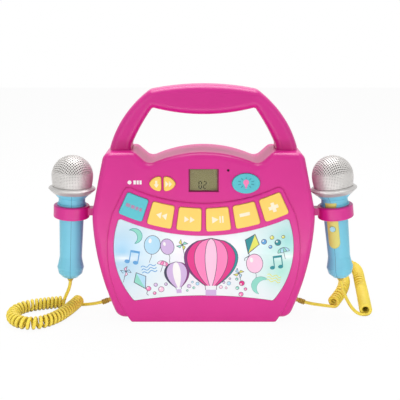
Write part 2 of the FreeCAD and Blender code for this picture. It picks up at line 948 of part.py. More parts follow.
def cut_box(body, x_low, x_high, z_low, z_high, start_depth, end_depth):
    """Block cut away from one depth forward to another."""
    sketch = sketch_on(body, "XZ_Plane", start_depth)
    draw_box(sketch, x_low, x_high, z_low, z_high)
    return pocket(body, sketch, end_depth - start_depth, reverse=True)


def pad_outline(body, outline, start_depth, end_depth):
    """Plate of a drawn outline from one depth forward to another."""
    sketch = sketch_on(body, "XZ_Plane", start_depth)
    draw(sketch, *outline)
    return pad(body, sketch, end_depth - start_depth)


def cut_outline(body, outlines, start_depth, end_depth):
    """Openings of drawn outlines from one depth forward to another."""
    sketch = sketch_on(body, "XZ_Plane", start_depth)
    for outline in outlines:
        draw(sketch, *outline)
    return pocket(body, sketch, end_depth - start_depth, reverse=True)


# Depths of the stack behind the light panel
RIM_FRONT = WALL_INSIDE - size.stack_gap
RIM_BACK = RIM_FRONT - size.panel_rim_thickness
DIFFUSER_FRONT = RIM_BACK - size.stack_gap
DIFFUSER_BACK = DIFFUSER_FRONT - size.diffuser_thickness
TRAY_FRONT = DIFFUSER_BACK - size.stack_gap
TRAY_BACK = TRAY_FRONT - size.tray_depth
EAR_BACK = TRAY_FRONT - size.board_thickness
PANEL_SKIRT = size.panel_gap + size.panel_rim
BOARD_BACK = size.board_front - size.board_thickness
WINDOW_BACK = FLANGE_FRONT - size.display_window_thickness
SPEAKER_FRONT = -size.speaker_plate_back + size.speaker_plate_thickness
DOOR_BACK = -size.case_back
DOOR_FRONT = DOOR_BACK + size.door_thickness
LEDGE_BACK = DOOR_FRONT + size.stack_gap
LEDGE_FRONT = LEDGE_BACK + size.door_ledge_thickness
BOX_BACK = LEDGE_FRONT + size.stack_gap
GLAND_SHARE = (size.case_waist_height - size.gland_height) / SIDE_RADIUS
GLAND_TILT = arc_sine(GLAND_SHARE)
LEG_TOP = SHOULDER_INNER_HEIGHT + size.handle_ankle_rise
FOOT_TOP = size.shoulder_height - size.wall - size.handle_foot_gap
FOOT_LOW = FOOT_TOP - size.handle_foot_drop


def add_chin(body):
    """Block behind the lower end of the bib, where the edge of the case is rounded."""
    low = size.case_floor_height
    top = low + size.edge_round + size.chin_rise
    start = (size.chin_top_half_width, top)
    outline = (start, mirrored(start, [((size.plinth_top_half_width, low),)]))
    pad_outline(body, outline, size.case_front - size.edge_round - size.chin_rise, size.case_front)


def add_bib(body):
    """Raised field round the keys and the light panel, which runs down into the plinth."""
    angle = -fan_angle(0) + KEY_HALF_ANGLE + size.bib_top_gap * DEGREES / size.fan_radius
    radius = FAN_TOP - size.bib_top_gap
    start = fan_point(radius, angle)
    panel_start, panel_steps = panel_outline(ZERO)
    bend = (panel_start[0] + size.bib_side_gap, panel_start[1] + size.bib_top_gap)
    bulge = (size.panel_bulge_x + size.bib_side_gap, size.panel_bulge_height)
    foot = (size.bib_foot_half_width, ZERO)
    steps = [(bend,), (bulge, foot)]
    outline = (start, mirrored(start, steps, top_via=fan_point(radius, ZERO)))
    pad_outline(body, outline, size.case_front - size.wall / 2, BIB_FRONT)
    round_edges(body, size.bib_corner_round, along_depth(both_sides(start), size.bib_round))
    round_edges(body, size.bib_bend_round, along_depth(both_sides(bend), size.bib_round))
    round_edges(body, size.bib_foot_round, along_depth(both_sides(foot), size.touch))


def soften_bib(body):
    """Round the front edge of the bib all the way round."""
    round_edges(body, size.bib_round, at_depth(BIB_FRONT))


def cut_front_openings(body):
    """Holes for keys, display, built-in microphone and light panel."""
    inside = WALL_INSIDE - size.wall
    keys = [fan_sector(fan_angle(index), size.key_gap) for index in range(FAN_KEY_COUNT)]
    cut_outline(body, keys, inside, BIB_FRONT + size.wall)
    corners = [start for start, steps in keys]
    corners += [step[-1] for start, steps in keys for step in steps[:-1]]
    round_edges(body, size.key_round + size.key_gap, along_depth(corners, size.touch))
    records = [half_oval(side, size.key_gap) for side in (-1, 1)]
    cut_outline(body, records, inside, size.case_front + size.wall)
    corners = [corner for start, steps in records for corner in (start, steps[0][-1], steps[1][-1])]
    round_edges(body, size.record_tip_round + size.key_gap, along_depth(corners, size.touch))
    sketch = sketch_on(body, "XZ_Plane", inside)
    draw_oval(
        sketch,
        size.light_key_centre_x,
        LIGHT_KEY_HEIGHT,
        size.light_key_half_width + size.key_gap,
        size.light_key_half_height + size.key_gap,
    )
    pocket(body, sketch, size.case_front - inside + size.wall, reverse=True)
    low = DISPLAY_HEIGHT - size.display_half_height
    high = DISPLAY_HEIGHT + size.display_half_height
    wide = size.display_half_width
    cut_box(body, -wide, wide, low, high, inside, size.case_front + size.wall)
    hole = [(size.pickup_x, PICKUP_HEIGHT)]
    cut_circles(body, hole, size.pickup_hole_radius, inside, size.case_front + size.wall)
    cut_outline(body, [panel_outline(size.panel_gap)], inside, BIB_FRONT + size.wall)
    round_edges(
        body,
        size.panel_round + size.panel_gap,
        along_depth(panel_corners(size.panel_gap), size.touch),
    )


def cut_handle_slots(body, low_y, high_y, outer_y):
    """Slots in the shoulders through which the handle feet pass."""
    gap = size.handle_slot_gap
    inner = size.handle_inner_foot_x - gap
    outer = size.handle_foot_x + gap
    for side in (-1, 1):
        sketch = sketch_on(body, "XY_Plane", LEG_TOP)
        draw_box(sketch, side * inner, side * outer, low_y, high_y)
        pocket(body, sketch, LEG_TOP - FOOT_TOP)
        corners = [(side * inner, outer_y), (side * outer, outer_y)]
        round_edges(body, size.handle_edge_round + gap, along_height(corners, size.touch))


def along_height(corners, reach):
    """Chooser for upright edges through one of the given plan corners."""
    def chosen(edge):
        points = edge_points(edge)
        straight = all((point - points[0]).cross(Vector(0, 0, 1)).Length < reach.value for point in points)
        hits = any(
            math.hypot(points[0].x - corner[0].value, points[0].y - corner[1].value) < reach.value
            for corner in corners
        )
        return straight and hits
    return chosen


def cut_side_holes(body):
    """Holes in the flanks for the holder plugs and the cord glands."""
    half_wide = size.holder_arm_half_width - size.holder_plug_step + size.holder_plug_gap
    half_high = size.holder_arm_half_height - size.holder_plug_step + size.holder_plug_gap
    front = -size.holder_front
    for side in (-1, 1):
        inside = size.case_half_width - 2 * size.wall
        sketch = sketch_on(body, "YZ_Plane", side * inside)
        low = size.holder_height - half_high
        draw_box(sketch, front - half_wide, front + half_wide, low, size.holder_height + half_high)
        pocket(body, sketch, 3 * size.wall, reverse=side > 0)
        wall_x = side_half_width(size.gland_height)
        back_off = 2 * size.wall
        hole = sketch_on(
            body,
            "YZ_Plane",
            side * (wall_x - back_off * cosine(GLAND_TILT)),
            -size.gland_front,
            size.gland_height + back_off * sine(GLAND_TILT),
            GLAND_TILT if side > 0 else -GLAND_TILT,
            Vector(1, 0, 0),
        )
        draw_circle(hole, ZERO, ZERO, size.gland_neck_radius + size.gland_gap)
        pocket(body, hole, 2 * back_off, reverse=side > 0)


def add_front_posts(body):
    """Posts for the case screws, the main board and the reflector tray."""
    root = WALL_INSIDE + size.post_sink
    parting = -size.parting_back
    pad_circles(body, case_posts(), size.post_radius, parting, root)
    cut_circles(body, case_posts(), SCREW_HOLE, parting, parting + size.screw_grip + size.wall)
    pad_circles(body, board_posts(), size.small_post_radius, size.board_front, root)
    cut_circles(body, board_posts(), SMALL_SCREW_HOLE, size.board_front, WALL_INSIDE)
    pad_circles(body, tray_posts(), size.small_post_radius, TRAY_FRONT, root)
    grip_end = TRAY_FRONT + size.small_screw_grip + size.stack_gap
    cut_circles(body, tray_posts(), SMALL_SCREW_HOLE, TRAY_FRONT, grip_end)


def make_front_shell():
    """Front half of the case with bib, key holes, panel opening and posts."""
    parting = -size.parting_back
    body = case_block("front_shell", parting, size.case_front - parting, size.case_front)
    add_chin(body)
    add_plinth(body, parting, size.case_front)
    add_bib(body)
    hollow_plinth(body, parting, size.case_front - size.edge_round - size.wall)
    soften_bib(body)
    cut_front_openings(body)
    front = -size.handle_front - size.handle_slot_gap
    cut_handle_slots(body, front, size.parting_back, front)
    cut_side_holes(body)
    add_front_posts(body)


def add_rear_posts(body):
    """Posts with screw wells, and posts for the loudspeaker."""
    root = -BACK_INSIDE - size.post_sink
    parting = -size.parting_back
    seat = -size.screw_seat_back
    pad_circles(body, case_posts(), size.screw_well_radius + size.post_wall, root, parting)
    cut_circles(body, case_posts(), size.screw_well_radius, -size.case_back, seat)
    cut_circles(body, case_posts(), SCREW_HOLE, seat, parting)
    face = -size.speaker_plate_back - size.speaker_post_gap
    pad_circles(body, speaker_posts(), size.small_post_radius, root, face)
    cut_circles(body, speaker_posts(), SMALL_SCREW_HOLE, face - size.small_screw_grip - size.stack_gap, face)


def add_door_ledge(body):
    """Ledge on three sides on which the battery door lies."""
    outer = size.door_half_width + size.door_ledge
    inner = size.door_half_width - size.door_ledge
    top = size.door_high + size.door_ledge
    low_top = size.door_high - size.door_ledge
    start = (outer, top)
    steps = [((outer, size.door_low),), ((inner, size.door_low),), ((inner, low_top),)]
    pad_outline(body, (start, mirrored(start, steps)), LEDGE_BACK, LEDGE_FRONT)


def cut_rear_openings(body):
    """Holes for the speaker grille, the battery door and the power switch."""
    outside = -size.case_back - size.wall
    inside = -BACK_INSIDE + size.wall
    speaker = [(ZERO, SPEAKER_HEIGHT)]
    cut_circles(body, speaker, size.grille_radius + size.grille_gap, outside, inside)
    gap = size.door_gap
    wide = size.door_half_width + gap
    cut_box(body, -wide, wide, size.door_low - gap, size.door_high + gap, outside, inside)
    reach = size.switch_knob_half_width + size.switch_travel / 2 + size.switch_gap
    tall = size.switch_knob_half_height + size.switch_gap
    low = size.switch_height - tall
    cut_box(body, size.switch_x - reach, size.switch_x + reach, low, low + 2 * tall, outside, inside)


def make_rear_shell():
    """Rear half of the case with screw wells, speaker hole and battery opening."""
    back = -size.case_back
    parting = -size.parting_back
    body = case_block("rear_shell", back, parting - back, back)
    plinth_back = back + size.plinth_inset
    add_plinth(body, plinth_back, parting)
    hollow_plinth(body, plinth_back + size.wall, parting)
    cut_rear_openings(body)
    slot_back = size.handle_back + size.handle_slot_gap
    cut_handle_slots(body, size.parting_back, slot_back, slot_back)
    add_door_ledge(body)
    add_rear_posts(body)


def handle_outline():
    """Arched handle with a bulged grip and feet that pass into the shoulders."""
    start = (size.handle_corner_x, above_shoulder(size.handle_corner_rise))
    bend = (size.handle_bend_x, above_shoulder(size.handle_bend_rise))
    inner_bend = (size.handle_inner_bend_x, above_shoulder(size.handle_inner_bend_rise))
    inner_corner = above_shoulder(size.handle_inner_corner_rise)
    steps = [
        (bend, (size.handle_foot_x, LEG_TOP)),
        ((size.handle_foot_x, FOOT_LOW),),
        ((size.handle_inner_foot_x, FOOT_LOW),),
        ((size.handle_inner_foot_x, above_shoulder(size.handle_inner_foot_rise)),),
        (inner_bend, (size.handle_inner_corner_x, inner_corner)),
    ]
    low = (ZERO, above_shoulder(size.handle_grip_low_rise))
    return start, mirrored(start, steps, bottom_via=low, top_via=(ZERO, above_shoulder(size.handle_top_rise)))


def make_handle_half(label, start_depth, end_depth, face_depth):
    """One half of the hollow handle, open at the parting plane."""
    body = new_body(label)
    pad_outline(body, handle_outline(), start_depth, end_depth)
    inner_corner = above_shoulder(size.handle_inner_corner_rise)
    corners = [
        (size.handle_corner_round, (size.handle_corner_x, above_shoulder(size.handle_corner_rise))),
        (size.handle_ankle_round, (size.handle_foot_x, LEG_TOP)),
        (size.handle_ankle_round, (size.handle_inner_foot_x, above_shoulder(size.handle_inner_foot_rise))),
        (size.handle_inner_corner_round, (size.handle_inner_corner_x, inner_corner)),
    ]
    for radius, corner in corners:
        round_edges(body, radius, along_depth(both_sides(corner), size.touch))
    face_edge = at_depth(face_depth)
    foot_edge = at_height(FOOT_LOW)

    def grip_edge(edge):
        return face_edge(edge) and not foot_edge(edge)

    round_edges(body, size.handle_edge_round, grip_edge)
    hollow(body, size.handle_wall, face_at_depth(-size.parting_back))
    flange = size.handle_foot_flange
    inner = size.handle_inner_foot_x - flange
    lip = -face_depth - flange if face_depth.value > 0 else -face_depth + flange
    for side in (-1, 1):
        sketch = sketch_on(body, "XY_Plane", FOOT_LOW)
        draw_box(sketch, side * inner, side * size.handle_foot_x, size.parting_back, lip)
        pad(body, sketch, FOOT_TOP - FOOT_LOW)


def make_handle():
    """Both halves of the handle."""
    parting = -size.parting_back
    make_handle_half("handle_front_half", parting, size.handle_front, size.handle_front)
    make_handle_half("handle_rear_half", -size.handle_back, parting, -size.handle_back)


def make_fan_key(label, index):
    """One fan key with the flange that keeps it behind the wall."""
    body = new_body(label)
    angle = fan_angle(index)
    back = FLANGE_FRONT - size.flange_thickness
    start, steps = fan_sector(angle, ZERO)
    pad_outline(body, (start, steps), back, BIB_FRONT + size.key_proud)
    corners = [start, steps[0][-1], steps[1][-1], steps[2][-1]]
    round_edges(body, size.key_round, along_depth(corners, size.touch))
    round_edges(body, size.key_edge_round, at_depth(BIB_FRONT + size.key_proud))
    pad_outline(body, fan_sector(angle, size.key_gap + size.flange_rim), back, FLANGE_FRONT)


def make_record_key(label, side):
    """One half-oval key with its flange."""
    body = new_body(label)
    back = FLANGE_FRONT - size.flange_thickness
    start, steps = half_oval(side, ZERO)
    front = size.case_front + size.small_key_proud
    pad_outline(body, (start, steps), back, front)
    corners = [start, steps[0][-1], steps[1][-1]]
    round_edges(body, size.record_tip_round, along_depth(corners, size.touch))
    round_edges(body, size.key_edge_round, at_depth(front))
    rim = size.record_half_height + size.flange_rim
    middle = RECORD_HEIGHT
    inner = -size.record_centre_x + side * size.record_slit / 4
    outer = -size.record_centre_x + side * (size.record_half_width + size.flange_rim)
    pad_box(body, inner, outer, middle - rim, middle + rim, back, FLANGE_FRONT)


def make_light_key():
    """Oval key with its flange."""
    body = new_body("light_button")
    back = FLANGE_FRONT - size.flange_thickness
    front = size.case_front + size.small_key_proud
    for grow, end in ((ZERO, front), (size.key_gap + size.flange_rim, FLANGE_FRONT)):
        sketch = sketch_on(body, "XZ_Plane", back)
        draw_oval(
            sketch,
            size.light_key_centre_x,
            LIGHT_KEY_HEIGHT,
            size.light_key_half_width + grow,
            size.light_key_half_height + grow,
        )
        pad(body, sketch, end - back)
        if grow is ZERO:
            round_edges(body, size.key_edge_round, at_depth(front))


def make_keys():
    """All nine keys of the front."""
    names = ("mode", "rewind", "forward", "play", "volume_down", "volume_up")
    for index, name in enumerate(names):
        make_fan_key(f"{name}_button", index)
    make_record_key("record_button", -1)
    make_record_key("replay_button", 1)
    make_light_key()


def make_display():
    """Display window behind the wall and display module on the main board."""
    wide = size.display_half_width + size.display_rim
    low = DISPLAY_HEIGHT - size.display_half_height - size.display_rim
    high = DISPLAY_HEIGHT + size.display_half_height + size.display_rim
    window = new_body("display_window")
    pad_box(window, -wide, wide, low, high, WINDOW_BACK, FLANGE_FRONT)
    module = new_body("display_module")
    pad_box(module, -wide, wide, low, high, size.board_front, WINDOW_BACK - size.stack_gap)


def make_boards():
    """Main board, key membrane and capsule of the built-in microphone."""
    board = new_body("main_board")
    pad_outline(board, board_outline(ZERO), BOARD_BACK, size.board_front)
    cut_circles(board, board_posts(), SMALL_SCREW_HOLE, BOARD_BACK, size.board_front)
    chip = size.chip_half_side
    for side in (-1, 1):
        middle = side * size.chip_x
        pad_box(board, middle - chip, middle + chip, size.chip_z - chip, size.chip_z + chip,
                BOARD_BACK - size.chip_height, BOARD_BACK)
    pickup = [(size.pickup_x, PICKUP_HEIGHT)]
    membrane = new_body("key_membrane")
    pad_outline(membrane, board_outline(size.membrane_inset), size.board_front, MEMBRANE_FRONT)
    slack = size.key_gap
    wide = size.display_half_width + size.display_rim + slack
    high = size.display_half_height + size.display_rim + slack
    middle = DISPLAY_HEIGHT
    cut_box(membrane, -wide, wide, middle - high, middle + high, size.board_front, MEMBRANE_FRONT)
    cut_circles(membrane, pickup, size.pickup_radius + slack, size.board_front, MEMBRANE_FRONT)
    cut_circles(membrane, board_posts(), size.small_post_radius + slack, size.board_front, MEMBRANE_FRONT)
    domes = [fan_point(size.fan_radius, fan_angle(index)) for index in range(6)]
    domes.append((-size.record_centre_x - size.record_half_width / 2, RECORD_HEIGHT))
    domes.append((-size.record_centre_x + size.record_half_width / 2, RECORD_HEIGHT))
    domes.append((size.light_key_centre_x, LIGHT_KEY_HEIGHT))
    dome_top = FLANGE_FRONT - size.flange_thickness - size.key_travel - size.stack_gap
    pad_circles(membrane, domes, size.dome_radius, size.board_front, dome_top)
    capsule = new_body("pickup_capsule")
    pad_circles(capsule, pickup, size.pickup_radius, size.board_front, FLANGE_FRONT)


def make_light_stack():
    """Light panel, diffuser, reflector tray and lamp board."""
    panel = new_body("light_panel")
    face = BIB_FRONT - size.panel_sunk
    pad_outline(panel, panel_outline(ZERO), RIM_BACK, face)
    round_edges(panel, size.panel_round, along_depth(panel_corners(ZERO), size.touch))
    pad_outline(panel, panel_outline(PANEL_SKIRT), RIM_BACK, RIM_FRONT)
    diffuser = new_body("light_diffuser")
    pad_outline(diffuser, panel_outline(PANEL_SKIRT), DIFFUSER_BACK, DIFFUSER_FRONT)
    tray = new_body("reflector_tray")
    pad_outline(tray, panel_outline(PANEL_SKIRT), TRAY_BACK, TRAY_FRONT)
    add_tray_ears(tray)
    inner = panel_outline(PANEL_SKIRT - size.tray_wall)
    cut_outline(tray, [inner], TRAY_BACK + size.tray_wall, TRAY_FRONT)
    cut_circles(tray, tray_posts(), SMALL_SCREW_HOLE, EAR_BACK, TRAY_FRONT)
    board = new_body("lamp_board")
    floor = TRAY_BACK + size.tray_wall
    wide = size.lamp_board_half_width
    low = size.lamp_board_height - size.lamp_board_half_height
    high = size.lamp_board_height + size.lamp_board_half_height
    pad_box(board, -wide, wide, low, high, floor, floor + size.board_thickness)
    first = -(LAMP_COUNT - 1) / 2
    lamps = [(size.lamp_pitch * (first + index), size.lamp_board_height) for index in range(LAMP_COUNT)]
    top = floor + size.board_thickness + size.lamp_length
    pad_circles(board, lamps, size.lamp_radius, floor, top)
    round_edges(board, size.lamp_radius * size.lamp_round_share, at_depth(top))


def add_tray_ears(tray):
    """Ears by which the tray is screwed to the front half."""
    half = size.tray_ear_half_width
    for side in (-1, 1):
        inner = side * (size.tray_ear_x - 3 * half)
        outer = side * (size.tray_ear_x + half)
        low = size.tray_ear_height - half
        pad_box(tray, inner, outer, low, low + 2 * half, EAR_BACK, TRAY_FRONT)
        middle = side * size.tray_foot_x
        foot = size.tray_foot_height - half
        pad_box(tray, middle - half, middle + half, foot, foot + 4 * half, EAR_BACK, TRAY_FRONT)


def make_speaker():
    """Grille, frame, cone and magnet of the loudspeaker."""
    centre = [(ZERO, SPEAKER_HEIGHT)]
    grille = new_body("speaker_grille")
    rim_front = -BACK_INSIDE + size.stack_gap + size.grille_rim_thickness
    rim_back = -BACK_INSIDE + size.stack_gap
    pad_circles(grille, centre, size.grille_radius, -size.case_back, rim_front)
    pad_circles(grille, centre, size.grille_radius + size.grille_rim, rim_back, rim_front)
    inner = size.grille_radius - size.grille_rim
    cut_circles(grille, centre, inner, -size.case_back + size.speaker_plate_thickness, rim_front)
    holes = [(ZERO, SPEAKER_HEIGHT)]
    for ring in (1, 2, 3):
        count = FIRST_RING_HOLES * ring
        reach = size.grille_hole_pitch * ring
        for index in range(count):
            turn = as_size(FULL_TURN * index / count)
            holes.append((reach * sine(turn), SPEAKER_HEIGHT + reach * cosine(turn)))
    cut_circles(grille, holes, size.grille_hole_radius, -size.case_back, rim_front)

    frame = new_body("speaker_frame")
    half = size.speaker_half_side
    plate_back = -size.speaker_plate_back
    middle = SPEAKER_HEIGHT
    pad_box(frame, -half, half, middle - half, middle + half, plate_back, SPEAKER_FRONT)
    corners = [(side * half, middle + up * half) for side in (-1, 1) for up in (-1, 1)]
    round_edges(frame, size.speaker_corner_round, along_depth(corners, size.touch))
    wall = size.speaker_basket_wall
    basket_back = size.speaker_plate_back - size.speaker_plate_thickness
    floor = basket_back - size.speaker_basket_depth
    sketch = sketch_on(frame, "XY_Plane", SPEAKER_HEIGHT)
    start = (size.speaker_basket_radius, basket_back + wall)
    steps = [
        ((size.speaker_magnet_radius, floor),),
        ((size.speaker_throat_radius, floor),),
        ((size.speaker_throat_radius, floor + wall),),
        ((size.speaker_magnet_radius - wall, floor + wall),),
        ((size.speaker_basket_radius - wall, basket_back + wall),),
        (start,),
    ]
    draw(sketch, start, steps)
    revolve(frame, sketch)
    opening = size.speaker_cone_radius - wall
    cut_circles(frame, centre, opening, plate_back, SPEAKER_FRONT)
    cut_circles(frame, speaker_posts(), SMALL_SCREW_HOLE, plate_back, SPEAKER_FRONT)

    cone = new_body("speaker_cone")
    skin = size.speaker_cone_wall
    seat = size.speaker_plate_back
    sketch = sketch_on(cone, "XY_Plane", SPEAKER_HEIGHT)
    edge = size.speaker_cone_radius + wall
    roll = size.speaker_cone_radius - 2 * wall
    throat = size.speaker_throat_radius - wall
    deep = floor + 2 * wall
    cap = size.speaker_dust_cap_height
    start = (edge, seat)
    steps = [
        ((edge, seat + skin),),
        ((roll, seat + skin),),
        ((throat, deep + skin + skin),),
        ((throat / 2, deep + cap), (size.speaker_dust_cap_flat, deep + cap + skin)),
        ((ZERO, deep + cap + skin),),
        ((ZERO, deep + cap),),
        ((size.speaker_dust_cap_flat, deep + cap),),
        ((throat, deep),),
        ((roll, seat),),
        (start,),
    ]
    draw(sketch, start, steps)
    revolve(cone, sketch)

    magnet = new_body("speaker_magnet")
    pad_circles(magnet, centre, size.speaker_magnet_radius, -floor, -floor + size.speaker_magnet_depth)


def make_battery_parts():
    """Battery box, contacts, door and door screw."""
    wall = size.battery_wall
    box = new_body("battery_box")
    wide = size.battery_half_width
    front = BOX_BACK + size.battery_depth
    low = size.battery_low
    high = size.battery_high
    pad_box(box, -wide - wall, wide + wall, low - wall, high + wall, BOX_BACK, front + wall)
    flange = size.door_half_width + size.door_ledge
    pad_box(box, -flange, flange, low - wall, size.door_high + size.door_ledge, BOX_BACK, BOX_BACK + wall)
    screw = [(ZERO, size.door_screw_height)]
    pad_circles(box, screw, size.post_radius, BOX_BACK, BOX_BACK + size.door_screw_grip)
    cut_box(box, -wide, wide, low, high, BOX_BACK, front)
    cut_circles(box, screw, size.door_screw_hole_radius, BOX_BACK, BOX_BACK + size.door_screw_grip)
    cell = size.battery_half_width / 2
    for index in (-1, 0, 1):
        middle = cell * index
        half = size.battery_rib / 2
        pad_box(box, middle - half, middle + half, low - wall / 2, high + wall / 2,
                front - size.battery_rib_height, front)

    contacts = new_body("battery_contacts")
    sketch = sketch_on(contacts, "XZ_Plane", front - size.battery_rib_height - size.contact_height)
    for index in (-1.5, -0.5, 0.5, 1.5):
        middle = cell * index
        left = middle - size.contact_half_width
        right = middle + size.contact_half_width
        draw_box(sketch, left, right, low, low + size.contact_thickness)
        draw_box(sketch, left, right, high - size.contact_thickness, high)
    pad(contacts, sketch, size.contact_height)

    door = new_body("battery_door")
    edge = size.door_half_width
    pad_box(door, -edge, edge, size.door_low, size.door_high, DOOR_BACK, DOOR_FRONT)
    tongue_back = -BACK_INSIDE + size.grille_gap
    tongue_front = tongue_back + size.door_tongue_thickness
    for side in (-1, 1):
        left = side * size.door_tongue_x - size.door_tongue_half_width
        right = side * size.door_tongue_x + size.door_tongue_half_width
        low_edge = size.door_low
        drop = size.door_tongue_drop
        high_edge = low_edge + drop
        root = DOOR_FRONT - size.stack_gap
        pad_box(door, left, right, low_edge + drop / 4, high_edge, root, tongue_front)
        pad_box(door, left, right, low_edge - drop, high_edge, tongue_back, tongue_front)
    cut_circles(door, screw, SCREW_HOLE, DOOR_BACK, DOOR_FRONT)
    head_seat = DOOR_BACK + size.door_screw_recess
    cut_circles(door, screw, size.screw_head_radius + size.screw_gap, DOOR_BACK, head_seat)

    bolt = new_body("battery_door_screw")
    head_back = head_seat - size.door_screw_recess
    pad_circles(bolt, screw, size.screw_head_radius, head_back, head_seat)
    end = BOX_BACK + size.door_screw_grip * size.door_screw_share
    pad_circles(bolt, screw, size.screw_radius, head_back, end)


def make_power_switch():
    """Slider and body of the power switch."""
    knob = new_body("power_switch_knob")
    rest_x = size.switch_x - size.switch_travel / 2
    wide = size.switch_knob_half_width
    tall = size.switch_knob_half_height
    flange_back = -BACK_INSIDE + size.flange_gap
    flange_front = flange_back + size.switch_flange_thickness
    proud = -size.case_back - size.switch_knob_proud
    low = size.switch_height - tall
    high = size.switch_height + tall
    pad_box(knob, rest_x - wide, rest_x + wide, low, high, proud, flange_front)
    rim = size.switch_flange
    pad_box(knob, rest_x - wide - rim, rest_x + wide + rim, low - rim, high + rim, flange_back, flange_front)
    housing = new_body("power_switch_body")
    half_wide = size.switch_body_half_width
    half_tall = size.switch_body_half_height
    back = -BACK_INSIDE + size.stack_gap
    channel = flange_front + size.stack_gap
    front = channel + size.switch_body_depth
    pad_box(housing, size.switch_x - half_wide, size.switch_x + half_wide,
            size.switch_height - half_tall, size.switch_height + half_tall, back, front)
    slack = size.switch_gap
    cut_box(housing, size.switch_x - half_wide, size.switch_x + half_wide,
            low - rim - slack, high + rim + slack, back, channel)


def make_screws():
    """Case screws, and the smaller screws of the inner pieces."""
    screws = new_body("case_screws")
    seat = -size.screw_seat_back
    pad_circles(screws, case_posts(), size.screw_head_radius, seat - size.screw_head_height, seat)
    pad_circles(screws, case_posts(), size.screw_radius, seat - size.screw_head_height / 2,
                -size.parting_back + size.screw_grip)
    small = new_body("inner_screws")
    sets = (
        (board_posts(), BOARD_BACK, 1, size.board_front + size.small_screw_grip),
        (tray_posts(), EAR_BACK, 1, TRAY_FRONT + size.small_screw_grip),
        (speaker_posts(), SPEAKER_FRONT, -1, -size.speaker_plate_back - size.small_screw_grip),
    )
    for places, face, way, tip in sets:
        head = face - way * size.small_screw_head_height
        neck = face - way * size.small_screw_head_height / 2
        pad_circles(small, places, size.small_screw_head_radius, *in_order(head, face))
        pad_circles(small, places, size.small_screw_radius, *in_order(neck, tip))


def in_order(first, second):
    """Two depths from back to front."""
    return (first, second) if first.value < second.value else (second, first)


# Holders, microphones, glands and cords

HALF_RING = size.holder_ring_height / 2
BEAD_LOW = HALF_RING + size.holder_seat_gap
BEAD_HIGH = BEAD_LOW + size.mic_bead_height
COLLAR_LOW = size.mic_handle_top + size.stack_gap
COLLAR_HIGH = COLLAR_LOW + size.mic_collar_thickness
HEAD_LOW = COLLAR_HIGH + size.stack_gap
HEAD_EQUATOR = size.mic_head_top - size.mic_head_radius
SIDES = {"left": -1, "right": 1}


def lean_of(name):
    """Sideways lean of a microphone; the lower end points away from the case."""
    return size.left_lean if name == "left" else -size.right_lean


def turn_of(name):
    """Turn of a microphone about its own axis."""
    return size.mic_turn_left if name == "left" else size.mic_turn_right


def place_mic(body, name):
    """Set a piece of a microphone into its holder."""
    x = SIDES[name] * size.holder_x
    place(body, x, -size.holder_front, size.holder_height, lean_of(name), turn_of(name))


def make_holder(name):
    """Ring on a short arm, with a plug that snaps into the flank."""
    side = SIDES[name]
    body = new_body(f"{name}_holder")
    ring_place = (side * size.holder_x, -size.holder_front)
    lean = lean_of(name)
    low_x = ring_place[0] - HALF_RING * sine(lean)
    low_z = size.holder_height - HALF_RING * cosine(lean)
    ring = sketch_on(body, "XY_Plane", low_z, low_x, ring_place[1], lean)
    draw_circle(ring, ZERO, ZERO, size.holder_outer_radius)
    pad(body, ring, size.holder_ring_height)
    round_edges(body, size.holder_edge_round, is_ring)
    half_high = size.holder_arm_half_height
    half_wide = size.holder_arm_half_width
    face = size.case_half_width + size.stack_gap
    arm_end = size.holder_x - size.holder_inner_radius
    pad_arm(body, side, half_wide, half_high, face, arm_end)
    step = size.holder_plug_step
    plug_end = face - size.holder_plug_length
    pad_arm(body, side, half_wide - step, half_high - step, plug_end, arm_end)
    barb_end = size.case_half_width - size.wall - size.grille_gap
    barb_high = half_high - step + size.holder_barb
    pad_arm(body, side, half_wide - step, barb_high, barb_end - size.holder_barb_length, barb_end)
    bore_low_x = ring_place[0] - HALF_RING * 2 * sine(lean)
    bore_low_z = size.holder_height - HALF_RING * 2 * cosine(lean)
    bore = sketch_on(body, "XY_Plane", bore_low_z, bore_low_x, ring_place[1], lean)
    draw_circle(bore, ZERO, ZERO, size.holder_inner_radius)
    pocket(body, bore, size.holder_ring_height * 2, reverse=True)


def pad_arm(body, side, half_wide, half_high, inner_x, outer_x):
    """Level block of the holder between two distances from the middle plane."""
    sketch = sketch_on(body, "YZ_Plane", side * inner_x)
    front = -size.holder_front
    middle = size.holder_height
    draw_box(sketch, front - half_wide, front + half_wide, middle - half_high, middle + half_high)
    pad(body, sketch, outer_x - inner_x, reverse=side < 0)


